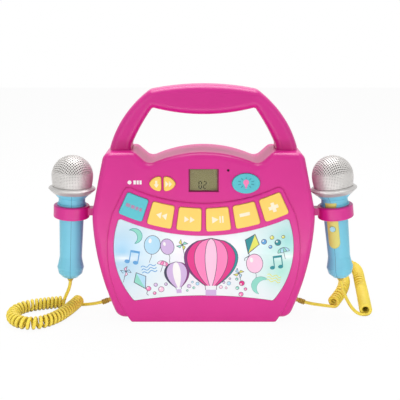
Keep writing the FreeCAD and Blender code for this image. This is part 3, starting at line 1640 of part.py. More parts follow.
def mic_wall_section():
    """Wall of a microphone handle from its upper rim down to the cord hole."""
    wall = size.mic_wall
    flare_mid = (size.mic_waist_low + size.mic_flare_low) / 2
    flare_via = size.mic_waist_radius + (size.mic_flare_radius - size.mic_waist_radius) * size.mic_flare_share
    start = (size.mic_handle_top_radius, size.mic_handle_top)
    inner_rim = size.mic_handle_top - size.mic_rim_height
    steps = [
        ((size.mic_neck_radius, size.mic_neck_top),),
        ((size.mic_neck_radius, BEAD_HIGH),),
        ((size.mic_bead_radius, BEAD_HIGH),),
        ((size.mic_bead_radius, BEAD_LOW),),
        ((size.mic_ring_radius, BEAD_LOW),),
        ((size.mic_waist_radius, -size.mic_waist_low),),
        ((flare_via, -flare_mid), (size.mic_flare_radius, -size.mic_flare_low)),
        ((size.mic_heel_radius, -size.mic_heel_low),),
        ((size.mic_bottom_radius, -size.mic_bottom_low),),
        ((size.mic_cord_hole_radius, -size.mic_bottom_low),),
        ((size.mic_cord_hole_radius, -size.mic_bottom_low + wall),),
        ((size.mic_bottom_radius, -size.mic_bottom_low + wall),),
        ((size.mic_waist_radius - wall, -size.mic_flare_low),),
        ((size.mic_waist_radius - wall, -size.mic_waist_low),),
        ((size.mic_ring_radius - wall, BEAD_LOW),),
        ((size.mic_neck_radius - wall, size.mic_neck_top),),
        ((size.mic_rim_radius, inner_rim),),
        ((size.mic_rim_radius, size.mic_handle_top),),
        (start,),
    ]
    return start, steps


def plate_slot(grow):
    """Outline of the switch plate: level at the top and round at the lower end."""
    half = size.plate_half_width + grow
    turn = -size.plate_low + half
    start = (half, size.plate_high + grow)
    steps = [
        ((half, turn - grow),),
        ((ZERO, -size.plate_low - grow), (-half, turn - grow)),
        ((-half, size.plate_high + grow),),
        (start,),
    ]
    return start, steps


def make_mic(name):
    """All pieces of one microphone, modelled upright and then leaned into the holder."""
    talk = [(ZERO, -size.talk_low)]
    for half, reverse in (("left", False), ("right", True)):
        body = new_body(f"{name}_mic_{half}_half")
        sketch = sketch_on(body, "YZ_Plane")
        draw(sketch, *mic_wall_section())
        revolve(body, sketch, 180.0, reverse)
        slot_end = size.plate_seat + size.mic_bead_radius
        cut_outline(body, [plate_slot(size.plate_gap)], size.plate_seat, slot_end)
        well = size.talk_radius + size.talk_rim + size.talk_gap
        cut_circles(body, talk, well, size.plate_seat - 2 * size.mic_wall, size.plate_seat)
        place_mic(body, name)

    plate = new_body(f"{name}_mic_switch_plate")
    pad_outline(plate, plate_slot(ZERO), size.plate_seat, size.plate_seat + size.mic_bead_radius)
    sketch = sketch_on(plate, "YZ_Plane")
    proud = size.plate_proud
    far = size.plate_seat + size.mic_bead_radius * 2
    start = (size.mic_neck_radius + proud, size.mic_neck_top)
    steps = [
        ((size.mic_ring_radius + proud, BEAD_LOW),),
        ((size.mic_waist_radius + proud, -size.mic_waist_low),),
        ((far, -size.mic_waist_low),),
        ((far, size.mic_neck_top),),
        (start,),
    ]
    draw(sketch, start, steps)
    groove(plate, sketch)
    cut_circles(plate, talk, size.talk_radius + size.talk_gap, size.plate_seat, far)
    place_mic(plate, name)

    button = new_body(f"{name}_mic_talk_button")
    flange_front = size.plate_seat - size.stack_gap
    flange_back = flange_front - size.talk_flange_thickness
    pad_circles(button, talk, size.talk_radius + size.talk_rim, flange_back, flange_front)
    taper = (size.mic_ring_radius - size.mic_waist_radius) * (size.talk_low / size.mic_waist_low)
    top = size.mic_ring_radius - taper + size.talk_proud
    pad_circles(button, talk, size.talk_radius, flange_back, top)
    place_mic(button, name)

    make_mic_top(name)
    make_gland(f"{name}_mic_gland", -size.mic_bottom_low, size.mic_wall, size.gland_mic_length)
    place_mic(PARTS[-1], name)


def head_dome(radius):
    """Arc of the head's half ball, from its equator to the small flat on top."""
    flat = size.mic_head_flat_radius
    via = (radius * DIAGONAL_SHARE, HEAD_EQUATOR + radius * DIAGONAL_SHARE)
    return via, (flat, HEAD_EQUATOR + square_root(radius * radius - flat * flat))


def make_mic_top(name):
    """Collar, perforated head and capsule of one microphone."""
    collar = new_body(f"{name}_mic_collar")
    sketch = sketch_on(collar, "XZ_Plane")
    inner = size.mic_collar_inner_radius
    lip = COLLAR_LOW + size.mic_collar_thickness * size.mic_collar_lip_share
    half_lip = size.mic_collar_lip / 2
    edge = size.mic_collar_radius
    start = (inner, COLLAR_LOW)
    steps = [
        ((size.mic_handle_top_radius + half_lip, COLLAR_LOW),),
        ((edge, lip - half_lip),),
        ((edge + half_lip / 2, lip), (edge, lip + half_lip)),
        ((size.mic_head_base_radius + size.mic_collar_step / 2, COLLAR_HIGH),),
        ((inner, COLLAR_HIGH),),
        (start,),
    ]
    draw(sketch, start, steps)
    revolve(collar, sketch)
    place_mic(collar, name)

    head = new_body(f"{name}_mic_head")
    wall = size.mic_head_wall
    sketch = sketch_on(head, "XZ_Plane")
    start = (size.mic_head_base_radius, HEAD_LOW)
    middle = (HEAD_LOW + HEAD_EQUATOR) / 2
    bulge = (size.mic_head_radius - size.mic_head_base_radius) * size.mic_head_side_share
    side_via = size.mic_head_radius - bulge
    dome = head_dome(size.mic_head_radius)
    inner_dome = head_dome(size.mic_head_radius - wall)
    steps = [
        ((side_via, middle), (size.mic_head_radius, HEAD_EQUATOR)),
        dome,
        ((ZERO, dome[1][1]),),
        ((ZERO, inner_dome[1][1]),),
        (inner_dome[1],),
        (inner_dome[0], (size.mic_head_radius - wall, HEAD_EQUATOR)),
        ((side_via - wall, middle), (size.mic_head_base_radius - wall, HEAD_LOW)),
        (start,),
    ]
    draw(sketch, start, steps)
    revolve(head, sketch)
    place_mic(head, name)

    capsule = new_body(f"{name}_mic_capsule")
    sketch = sketch_on(capsule, "XZ_Plane")
    disc = inner - size.mic_capsule_gap
    top = COLLAR_LOW + size.mic_capsule_plate
    start = (ZERO, COLLAR_LOW)
    steps = [
        ((disc, COLLAR_LOW),),
        ((disc, top),),
        ((size.mic_capsule_radius, top),),
        ((size.mic_capsule_radius, top + size.mic_capsule_length),),
        ((ZERO, top + size.mic_capsule_length),),
        (start,),
    ]
    draw(sketch, start, steps)
    revolve(capsule, sketch)
    place_mic(capsule, name)


def make_gland(label, base, wall, length):
    """Ribbed cord gland: flange inside the wall, neck through it, barrel below it."""
    body = new_body(label)
    sketch = sketch_on(body, "XZ_Plane")
    gap = size.gland_gap
    flange_low = base + wall + gap
    flange_high = flange_low + size.gland_flange_thickness
    barrel = base - gap
    rib = size.gland_radius + size.gland_rib
    pitch = size.gland_rib_width * 2
    start = (ZERO, flange_high)
    steps = [
        ((size.gland_flange_radius, flange_high),),
        ((size.gland_flange_radius, flange_low),),
        ((size.gland_neck_radius, flange_low),),
        ((size.gland_neck_radius, barrel),),
        ((rib, barrel),),
    ]
    for index in range(2):
        low = barrel - pitch * index - size.gland_rib_width
        steps.append(((rib, low),))
        steps.append(((size.gland_radius, low),))
        steps.append(((size.gland_radius, low - size.gland_rib_width),))
        if index == 0:
            steps.append(((rib, low - size.gland_rib_width),))
    steps.append(((size.gland_neck_radius, base - length),))
    steps.append(((ZERO, base - length),))
    steps.append((start,))
    draw(sketch, start, steps)
    revolve(body, sketch)
    return body


def make_case_gland(name):
    """Gland in the flank from which the cord leaves the case, square to the wall."""
    side = SIDES[name]
    body = make_gland(f"{name}_case_gland", ZERO, size.wall, size.gland_length)
    x = side * side_half_width(size.gland_height)
    place(body, x, -size.gland_front, size.gland_height, side * (GLAND_TILT - RIGHT_ANGLE))
    return body


def coil_axis(name, letters):
    """Middle line of a coil as it lies on the ground."""
    points = []
    for letter in letters:
        x = float(sheet.get(f"{name}_coil_{letter}_x"))
        y = float(sheet.get(f"{name}_coil_{letter}_y"))
        points.append(Vector(x, y, size.coil_axis_height.value))
    curve = Part.BSplineCurve()
    curve.interpolate(points)
    span = curve.LastParameter - curve.FirstParameter
    bends = [curve.curvature(curve.FirstParameter + span * index / 200) for index in range(201)]
    print(name, "coil axis", round(curve.length(), 1), "tightest bend", round(1 / max(bends), 1))
    return curve


def coil_phases(curve, length, turns):
    """Angle of winding along a coil; bends are wound slower, so that inner turns stay apart."""
    reach = size.coil_radius.value
    steps = 400
    shares = [0.0]
    for index in range(steps):
        parameter = curve.parameterAtDistance(length * (index + 0.5) / steps, curve.FirstParameter)
        shares.append(shares[-1] + 1 - reach * abs(curve.curvature(parameter)))
    return [2 * math.pi * turns * share / shares[-1] - math.pi / 2 for share in shares]


def coil_share(phases, phase):
    """Share of the coil's length at which an angle of winding is reached."""
    index = max(count for count, value in enumerate(phases[:-1]) if value <= phase + 1e-9)
    inside = (phase - phases[index]) / (phases[index + 1] - phases[index])
    return (index + inside) / (len(phases) - 1)


def coil_state(curve, length, share, phase):
    """Place on the wound wire at a share of the coil."""
    parameter = curve.parameterAtDistance(length * share, curve.FirstParameter)
    middle = curve.value(parameter)
    travel = Vector(*curve.tangent(parameter)[0])
    up = Vector(0, 0, 1)
    side = travel.cross(up)
    side.normalize()
    reach = size.coil_radius.value
    return middle + side * (reach * math.cos(phase)) + up * (reach * math.sin(phase))


def biarc(first, heading, last, final):
    """Two tangent arcs from one point and heading to another."""
    span = last - first
    both = heading + final
    square = 2 * (1 - heading.dot(final))
    along = span.dot(both)
    if square < 1e-9:
        handle = span.dot(span) / (4 * span.dot(final))
    else:
        handle = (-along + math.sqrt(along * along + square * span.dot(span))) / square
    joint = (first + last + (heading - final) * handle) / 2
    return [arc_from(first, heading, joint), arc_from(joint, last - final * handle - joint, last)]


def arc_from(first, heading, last):
    """Arc that leaves a point along a heading and ends at another point."""
    chord = last - first
    heading = Vector(heading)
    heading.normalize()
    across = chord - heading * chord.dot(heading)
    if across.Length < 1e-7:
        return Part.LineSegment(first, last)
    across.normalize()
    radius = chord.dot(chord) / (2 * chord.dot(across))
    centre = first + across * radius
    middle_way = (first + last) / 2 - centre
    if chord.dot(heading) < 0:
        middle_way = middle_way * -1
    middle_way.normalize()
    return Part.Arc(first, centre + middle_way * radius, last)


def tube(label, curves, first, heading):
    """Round cord along joined curves."""
    wire = Part.Wire([curve.toShape() for curve in curves])
    profile = Part.Wire([Part.Circle(first, heading, size.cord_radius.value).toShape()])
    solid = wire.makePipeShell([profile], True, False)
    if not solid.isValid() or solid.Volume < 0:
        solid = solid.reversed()
    area = math.pi * size.cord_radius.value ** 2
    print(label, "length", round(wire.Length, 1), "volume share", round(solid.Volume / area / wire.Length, 3))
    item = doc.addObject("Part::Feature", label)
    item.Label = label
    item.Shape = solid
    PARTS.append(item)
    return item


def make_coil(name, letters):
    """Curly part of a cord with straight ends, and the two places where it goes on."""
    curve = coil_axis(name, letters)
    length = curve.length()
    turns = float(sheet.get(f"{name}_coil_turns"))
    phases = coil_phases(curve, length, turns)
    count = int(round(turns * 4))
    nudge = math.radians(1)
    points = []
    headings = []
    for index in range(count + 1):
        phase = math.pi / 2 * (index - 1)
        before = max(phase - nudge, phases[0])
        after = min(phase + nudge, phases[-1])
        moments = (before, phase, after)
        states = [coil_state(curve, length, coil_share(phases, turn), turn) for turn in moments]
        points.append(states[1])
        heading = states[2] - states[0]
        heading.normalize()
        headings.append(heading)
    headings[0].z = 0
    headings[0].normalize()
    tail = size.cord_radius.value * 2
    start = points[0] - headings[0] * tail
    end = points[-1] + headings[-1] * tail
    curves = [Part.LineSegment(start, points[0])]
    for index in range(count):
        curves += biarc(points[index], headings[index], points[index + 1], headings[index + 1])
    curves.append(Part.LineSegment(points[-1], end))
    report_gap(name, points)
    tube(f"{name}_curly_cord", curves, start, headings[0])
    return (start, headings[0]), (end, headings[-1])


def report_gap(name, points):
    """Print the least gap between neighbouring turns, measured on points."""
    least = min((points[index + 4] - points[index]).Length for index in range(len(points) - 4))
    print(name, "least gap between turns", round(least - 2 * size.cord_radius.value, 2))


def make_lead(label, first, heading, last, final, run):
    """Straight lead of a cord: runs joined by tangent arcs."""
    corners = [first, first + heading * run, last - final * run, last]
    curves = []
    here = corners[0]
    for index in (1, 2):
        before = corners[index] - corners[index - 1]
        after = corners[index + 1] - corners[index]
        shorter = min(before.Length, after.Length)
        half_turn = before.getAngle(after) / 2
        trim = size.lead_trim_share.value * shorter
        radius = trim / math.tan(half_turn)
        print(label, "bend radius", round(radius, 1), "turn", round(math.degrees(2 * half_turn)))
        before.normalize()
        after.normalize()
        enter = corners[index] - before * trim
        leave = corners[index] + after * trim
        curves.append(Part.LineSegment(here, enter))
        curves.append(arc_from(enter, before, leave))
        here = leave
    curves.append(Part.LineSegment(here, corners[-1]))
    tube(label, curves, first, heading)


def make_cord(name, letters):
    """Case gland, lead, coil and lead up to the microphone."""
    gland = make_case_gland(name)
    out = gland.Placement.multVec(Vector(0, 0, -size.gland_length.value))
    away = gland.Placement.Rotation.multVec(Vector(0, 0, -1))
    print(name, "case gland", out, away)
    coil_start, coil_end = make_coil(name, letters)
    make_lead(f"{name}_case_lead", out, away, coil_start[0], coil_start[1], size.lead_run.value)
    mic = next(item for item in PARTS if item.Label == f"{name}_mic_gland")
    low = size.mic_bottom_low.value + size.gland_mic_length.value
    out = mic.Placement.multVec(Vector(0, 0, -low))
    away = mic.Placement.Rotation.multVec(Vector(0, 0, -1))
    print(name, "microphone gland", out, away)
    run = float(sheet.get(f"mic_lead_run_{name}"))
    make_lead(f"{name}_mic_lead", out, away, coil_end[0], coil_end[1] * -1, run)


def check_and_export():
    """Stop on any unsound object, then write one file for each part."""
    doc.recompute()
    for item in doc.Objects:
        if "Invalid" in item.State or "Error" in item.State:
            raise RuntimeError(f"{item.Label}: {item.State}")
    os.makedirs("parts", exist_ok=True)
    for item in PARTS:
        if item.Shape.isNull() or not item.Shape.isValid():
            raise RuntimeError(f"{item.Label}: unsound shape")
        item.Shape.exportStep(f"parts/{item.Label}.step")
    print(len(PARTS), "parts")


make_front_shell()
make_rear_shell()
make_handle()
make_keys()
make_display()
make_boards()
make_light_stack()
make_speaker()
make_battery_parts()
make_power_switch()
make_screws()
for side_name, route in (("left", "abcdefghi"), ("right", "abcdefghijkl")):
    make_holder(side_name)
    make_mic(side_name)
    make_cord(side_name, route)
check_and_export()
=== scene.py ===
"""Visual model of a toy karaoke machine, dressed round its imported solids."""
import json
import logging
import math
from dataclasses import dataclass, field
from enum import Enum
from itertools import accumulate
from typing import Iterable, Sequence

import bmesh
import bpy
from mathutils import Matrix, Vector


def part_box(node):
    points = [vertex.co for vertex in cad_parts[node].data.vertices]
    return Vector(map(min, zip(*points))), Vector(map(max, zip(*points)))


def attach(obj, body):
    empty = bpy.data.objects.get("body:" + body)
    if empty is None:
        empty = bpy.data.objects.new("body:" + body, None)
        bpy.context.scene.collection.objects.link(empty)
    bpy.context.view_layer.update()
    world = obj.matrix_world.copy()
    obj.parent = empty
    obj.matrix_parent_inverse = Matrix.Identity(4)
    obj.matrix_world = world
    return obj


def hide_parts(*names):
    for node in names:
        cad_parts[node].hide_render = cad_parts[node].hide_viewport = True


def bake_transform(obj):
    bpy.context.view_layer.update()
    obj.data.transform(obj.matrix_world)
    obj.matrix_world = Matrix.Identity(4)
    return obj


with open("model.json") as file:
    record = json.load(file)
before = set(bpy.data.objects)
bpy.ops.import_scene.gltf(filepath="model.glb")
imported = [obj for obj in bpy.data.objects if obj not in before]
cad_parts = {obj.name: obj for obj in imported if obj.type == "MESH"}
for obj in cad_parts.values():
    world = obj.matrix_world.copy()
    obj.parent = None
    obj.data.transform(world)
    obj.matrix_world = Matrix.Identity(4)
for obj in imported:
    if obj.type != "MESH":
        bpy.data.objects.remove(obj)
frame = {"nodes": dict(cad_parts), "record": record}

LOG = logging.getLogger("karaoke_machine")
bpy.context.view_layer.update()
MM = 0.001
CASE_BODY = "case"
Flat = tuple[float, float]
Place = tuple[float, float, float]
Colour = tuple[int, int, int]
Tree = bpy.types.NodeTree
Node = bpy.types.Node
Socket = bpy.types.NodeSocket
Item = bpy.types.Object
Mesh = bmesh.types.BMesh


# Colours and finishes

SCREEN_TOP = 255
DARK_LIMIT = 0.04045
DARK_SLOPE = 12.92
CURVE_OFFSET = 0.055
CURVE_POWER = 2.4
NOISE_MIDDLE = 0.5
CLOUD_DETAIL = 3.0
GRAIN_DETAIL = 2.0


def linear(red: int, green: int, blue: int) -> tuple[float, float, float, float]:
    """Turn a colour as it looks on a screen into the linear one that sockets take.

    Args:
        red: Red from 0 to 255.
        green: Green from 0 to 255.
        blue: Blue from 0 to 255.

    Returns:
        Linear colour with full alpha.
    """
    def channel(value: int) -> float:
        """Undo the screen curve of one channel.

        Args:
            value: Channel from 0 to 255.

        Returns:
            Linear channel from 0 to 1.
        """
        share = value / SCREEN_TOP
        if share <= DARK_LIMIT:
            return share / DARK_SLOPE
        return ((share + CURVE_OFFSET) / (1 + CURVE_OFFSET)) ** CURVE_POWER
    return (channel(red), channel(green), channel(blue), 1.0)


class Shade:
    """A material in the making, with short ways to add and join nodes."""

    def __init__(self, name: str) -> None:
        """Start a material with its surface shader.

        Args:
            name: Name of the material.
        """
        self.material = bpy.data.materials.new(name)
        self.material.use_nodes = True
        self.tree = self.material.node_tree
        self.surface = self.tree.nodes["Principled BSDF"]

    def add(self, kind: str, **values: object) -> Node:
        """Add a node and set its inputs by name, with underscores for blanks."""
        return add_node(self.tree, kind, **values)

    def join(self, source: Node, out: str, target: Node, into: str) -> None:
        """Link an output to an input by their names."""
        self.tree.links.new(source.outputs[out], target.inputs[into])

    def place(self) -> Node:
        """Give the node whose Object output is the place on the piece."""
        return self.add("ShaderNodeTexCoord")

    def bump(self, source: Node, out: str, depth: float) -> None:
        """Feed a height into the normal of the surface.

        Args:
            source: Node that puts out the height.
            out: Name of its output.
            depth: Depth of the relief in metres.
        """
        node = self.add("ShaderNodeBump", Strength=1.0, Distance=depth)
        self.join(source, out, node, "Height")
        self.join(node, "Normal", self.surface, "Normal")


def add_node(tree: Tree, kind: str, **values: object) -> Node:
    """Add a node to any tree and set its inputs.

    Args:
        tree: Tree that gets the node.
        kind: Identifier of the node type.
        values: Input values by name, with underscores for blanks.

    Returns:
        The new node.
    """
    node = tree.nodes.new(kind)
    for name, value in values.items():
        node.inputs[name.replace("_", " ")].default_value = value
    return node


def feed(tree: Tree, node: Node, values: Sequence[object]) -> Socket:
    """Link or set the first inputs of a node.

    Args:
        tree: Tree that holds the node.
        node: Node that is fed.
        values: Sockets or fixed values in the order of the inputs.

    Returns:
        The first output of the node.
    """
    for socket, value in zip(node.inputs, values):
        if isinstance(value, Socket):
            tree.links.new(value, socket)
        else:
            socket.default_value = value
    return node.outputs[0]


def math_node(tree: Tree, operation: str, first: object, second: object) -> Socket:
    """Add one sum of two sockets or numbers.

    Args:
        tree: Tree that gets the node.
        operation: Name of the sum, such as MULTIPLY.
        first: Socket or number.
        second: Socket or number.

    Returns:
        The output socket.
    """
    node = tree.nodes.new("ShaderNodeMath")
    node.operation = operation
    return feed(tree, node, (first, second))


def mix_colours(tree: Tree, *values: object) -> Socket:
    """Add a mix from the share of the second colour, the first colour and the second colour."""
    return feed(tree, tree.nodes.new("ShaderNodeMixRGB"), values)


def node_group(name: str, kind: str, inputs: Sequence[tuple], outputs: Sequence[tuple]) -> Tree:
    """Start a node group with named sockets.

    Args:
        name: Name of the group.
        kind: Identifier of the tree type.
        inputs: Label and kind of each input.
        outputs: Label and kind of each output.

    Returns:
        Group with its input and output nodes.
    """
    group = bpy.data.node_groups.new(name, kind)
    for way, rows in (("INPUT", inputs), ("OUTPUT", outputs)):
        for label, socket in rows:
            group.interface.new_socket(label, in_out=way, socket_type=f"NodeSocket{socket}")
    group.nodes.new("NodeGroupInput")
    group.nodes.new("NodeGroupOutput")
    return group


def grain_group() -> Tree:
    """Build once the group for cloudy tint, uneven gloss and fine mould grain.

    Returns:
        Group with the outputs Colour, Roughness and Height.
    """
    name = "mould_grain"
    if name in bpy.data.node_groups:
        return bpy.data.node_groups[name]
    numbers = ("Tint Share", "Cloud Scale", "Grain Scale", "Roughness", "Roughness Spread")
    inputs = [("Place", "Vector"), ("Colour", "Color")] + [(label, "Float") for label in numbers]
    outputs = (("Colour", "Color"), ("Roughness", "Float"), ("Height", "Float"))
    group = node_group(name, "ShaderNodeTree", inputs, outputs)
    given = group.nodes["Group Input"].outputs
    result = group.nodes["Group Output"].inputs
    link = group.links.new
    cloud = add_node(group, "ShaderNodeTexNoise", Detail=CLOUD_DETAIL)
    grain = add_node(group, "ShaderNodeTexNoise", Detail=GRAIN_DETAIL)
    for node, scale in ((cloud, "Cloud Scale"), (grain, "Grain Scale")):
        link(given["Place"], node.inputs["Vector"])
        link(given[scale], node.inputs["Scale"])
    swing = math_node(group, "SUBTRACT", cloud.outputs[0], NOISE_MIDDLE)
    swing = math_node(group, "MULTIPLY", swing, given["Tint Share"])
    shade = add_node(group, "ShaderNodeHueSaturation")
    link(math_node(group, "ADD", swing, 1.0), shade.inputs["Value"])
    link(given["Colour"], shade.inputs["Color"])
    link(shade.outputs[0], result["Colour"])
    uneven = math_node(group, "SUBTRACT", grain.outputs[0], NOISE_MIDDLE)
    uneven = math_node(group, "MULTIPLY", uneven, given["Roughness Spread"])
    link(math_node(group, "ADD", uneven, given["Roughness"]), result["Roughness"])
    link(grain.outputs[0], result["Height"])
    return group


@dataclass(frozen=True)
class Finish:
    """A surface with cloudy tint and fine grain."""

    name: str
    colour: Colour
    roughness: float = 0.34
    spread: float = 0.10
    tint_share: float = 0.10
    cloud_scale: float = 28.0
    grain_scale: float = 1500.0
    grain_depth: float = 0.00004
    metallic: float = 0.0
    coat: float = 0.0
    specular: float = 0.5
    subsurface: float = 0.0

    def material(self) -> bpy.types.Material:
        """Give the material, built at its first use.

        Returns:
            Material with the grain group in front of its surface shader.
        """
        if self.name in bpy.data.materials:
            return bpy.data.materials[self.name]
        shade = Shade(self.name)
        self.dress(shade)
        return shade.material

    def dress(self, shade: Shade) -> Node:
        """Set the shader's own values and feed it from the grain group.

        Args:
            shade: Material in the making.

        Returns:
            The grain node.
        """
        grain = shade.tree.nodes.new("ShaderNodeGroup")
        grain.node_tree = grain_group()
        values = (
            ("Colour", linear(*self.colour)),
            ("Tint Share", self.tint_share),
            ("Cloud Scale", self.cloud_scale),
            ("Grain Scale", self.grain_scale),
            ("Roughness", self.roughness),
            ("Roughness Spread", self.spread),
        )
        for label, value in values:
            grain.inputs[label].default_value = value
        shade.join(shade.place(), "Object", grain, "Place")
        shade.join(grain, "Colour", shade.surface, "Base Color")
        shade.join(grain, "Roughness", shade.surface, "Roughness")
        shade.bump(grain, "Height", self.grain_depth)
        surface = shade.surface.inputs
        surface["Metallic"].default_value = self.metallic
        surface["Coat Weight"].default_value = self.coat
        surface["Specular IOR Level"].default_value = self.specular
        surface["Subsurface Weight"].default_value = self.subsurface
        return grain


@dataclass(frozen=True)
class ClearFinish(Finish):
    """Clear plastic with faint ripples."""

    refraction: float = 1.2

    def dress(self, shade: Shade) -> Node:
        """Make the plastic clear after the common dressing.

        Args:
            shade: Material in the making.

        Returns:
            The grain node.
        """
        grain = super().dress(shade)
        shade.surface.inputs["Transmission Weight"].default_value = 1.0
        shade.surface.inputs["IOR"].default_value = self.refraction
        return grain


def painted_shade_group() -> Tree:
    """Build once the group that paints shade into narrow gaps, where the surface is hemmed in.

    Returns:
        Group with the inputs Colour, Deep, Reach and Sharpness and the output Colour; Deep is the colour of
        the painted shade.
    """
    name = "narrow_gaps"
    if name in bpy.data.node_groups:
        return bpy.data.node_groups[name]
    inputs = (("Colour", "Color"), ("Deep", "Color"), ("Reach", "Float"), ("Sharpness", "Float"))
    group = node_group(name, "ShaderNodeTree", inputs, (("Colour", "Color"),))
    given = group.nodes["Group Input"].outputs
    # Painted shade: the colour goes towards Deep where ambient occlusion finds the surface hemmed in.
    gap = group.nodes.new("ShaderNodeAmbientOcclusion")
    group.links.new(given["Reach"], gap.inputs["Distance"])
    closed = math_node(group, "SUBTRACT", 1.0, gap.outputs["AO"])
    sharp = math_node(group, "POWER", closed, given["Sharpness"])
    colour = mix_colours(group, sharp, given["Colour"], given["Deep"])
    group.links.new(colour, group.nodes["Group Output"].inputs["Colour"])
    return group


@dataclass(frozen=True)
class PaintedShadeFinish(Finish):
    """Surface with shade painted into its narrow gaps, as between the turns of a coil."""

    # Colour of the painted shade in narrow gaps.
    shade_colour: Colour = (0, 0, 0)
    reach: float = 0.007
    sharpness: float = 1.0

    def dress(self, shade: Shade) -> Node:
        """Mix the painted shade colour in where the surface is hemmed in.

        Args:
            shade: Material in the making.

        Returns:
            The grain node.
        """
        grain = super().dress(shade)
        # Painted shade in the narrow gaps, laid over the grain colour.
        shade_node = shade.tree.nodes.new("ShaderNodeGroup")
        shade_node.node_tree = painted_shade_group()
        shade_node.inputs["Deep"].default_value = linear(*self.shade_colour)
        shade_node.inputs["Reach"].default_value = self.reach
        shade_node.inputs["Sharpness"].default_value = self.sharpness
        shade.join(grain, "Colour", shade_node, "Colour")
        shade.join(shade_node, "Colour", shade.surface, "Base Color")
        return grain


@dataclass(frozen=True)
class SeamFinish(Finish):
    """Surface of a turned piece with a dark line where its two halves meet."""

    seat: Matrix = field(default_factory=Matrix)
    seam: Colour = (64, 132, 160)
    half_width: float = 0.00022

    def dress(self, shade: Shade) -> Node:
        """Draw the seam in the middle plane of the piece.

        Args:
            shade: Material in the making.

        Returns:
            The grain node.
        """
        grain = super().dress(shade)
        place, turn = self.seat.to_translation(), self.seat.to_euler("XYZ")
        local = shade.add("ShaderNodeMapping", Location=place, Rotation=turn)
        local.vector_type = "TEXTURE"
        shade.join(shade.place(), "Object", local, "Vector")
        parts = shade.add("ShaderNodeSeparateXYZ")
        shade.join(local, "Vector", parts, "Vector")
        aside = math_node(shade.tree, "ABSOLUTE", parts.outputs["X"], 0.0)
        line = math_node(shade.tree, "LESS_THAN", aside, self.half_width)
        colour = mix_colours(shade.tree, line, grain.outputs["Colour"], linear(*self.seam))
        shade.tree.links.new(colour, shade.surface.inputs["Base Color"])
        return grain


@dataclass(frozen=True)
class Glow:
    """A soft patch of painted glow on the light panel, in millimetres."""

    x: float
    height: float
    radius_x: float
    radius_z: float
    colour: Colour
    weight_share: float


@dataclass(frozen=True)
class PanelFilm(Finish):
    """Translucent panel sheet whose soft patches of colour are a painted glow."""

    glows: tuple[Glow, ...] = ()

    def dress(self, shade: Shade) -> Node:
        """Lay the patches of painted glow over the ground colour.

        Args:
            shade: Material in the making.

        Returns:
            The grain node.
        """
        grain = super().dress(shade)
        place = shade.place()
        ground = grain.outputs["Colour"]
        for glow in self.glows:
            middle = (glow.x * MM, 0.0, glow.height * MM)
            reach = (glow.radius_x * MM, 1.0, glow.radius_z * MM)
            spread = shade.add("ShaderNodeMapping", Location=middle, Scale=reach)
            spread.vector_type = "TEXTURE"
            shade.join(place, "Object", spread, "Vector")
            ball = shade.add("ShaderNodeTexGradient")
            ball.gradient_type = "QUADRATIC_SPHERE"
            shade.join(spread, "Vector", ball, "Vector")
            weight = math_node(shade.tree, "MULTIPLY", ball.outputs[1], glow.weight_share)
            ground = mix_colours(shade.tree, weight, ground, linear(*glow.colour))
        shade.tree.links.new(ground, shade.surface.inputs["Base Color"])
        return grain


# Case pink with painted shade darkening the gaps round the keys and the edges of the recesses.
PINK = PaintedShadeFinish(
    "case_pink_plastic",
    (214, 30, 141),
    coat=0.05,
    specular=0.45,
    shade_colour=(132, 8, 84),
    reach=0.0024,
    sharpness=4.0,
)
YELLOW = Finish("key_yellow_plastic", (253, 209, 98), roughness=0.4)
TEAL = Finish("key_teal_plastic", (84, 192, 204), roughness=0.4)
SKY = Finish("microphone_blue_plastic", (118, 200, 224), roughness=0.38)
PLATE = Finish("switch_plate_yellow", (220, 214, 112), roughness=0.42)
TALK = Finish("talk_key_blue", (168, 224, 236), roughness=0.35)
WHITE = Finish("moulded_white", (236, 236, 233), roughness=0.5)
FROST = Finish("frosted_diffuser", (242, 243, 242), roughness=0.6, subsurface=0.2)
BOARD = Finish("lacquered_board", (34, 96, 60), roughness=0.35, tint_share=0.25, cloud_scale=120.0)
MEMBRANE = Finish("membrane_rubber", (150, 152, 156), roughness=0.7)
BLACK = Finish("black_plastic", (26, 26, 29), roughness=0.5)
FOAM = Finish("grille_foam", (122, 117, 113), roughness=0.95, grain_scale=900.0, grain_depth=0.0004)
STEEL = Finish("plated_steel", (178, 180, 184), roughness=0.3, metallic=1.0)
SILVER = Finish("silver_paint", (222, 219, 216), roughness=0.42, metallic=0.3, tint_share=0.05)
COLLAR = Finish("silver_collar", (194, 192, 190), roughness=0.32, metallic=0.45, tint_share=0.05)
# Cord sheath with painted shade between its turns and inside the coil.
SHEATH = PaintedShadeFinish(
    "cord_sheath",
    (246, 221, 78),
    roughness=0.45,
    cloud_scale=60.0,
    shade_colour=(84, 60, 6),
    sharpness=2.0,
)
LEAD = Finish("cord_lead", (246, 221, 78), roughness=0.45, cloud_scale=60.0)
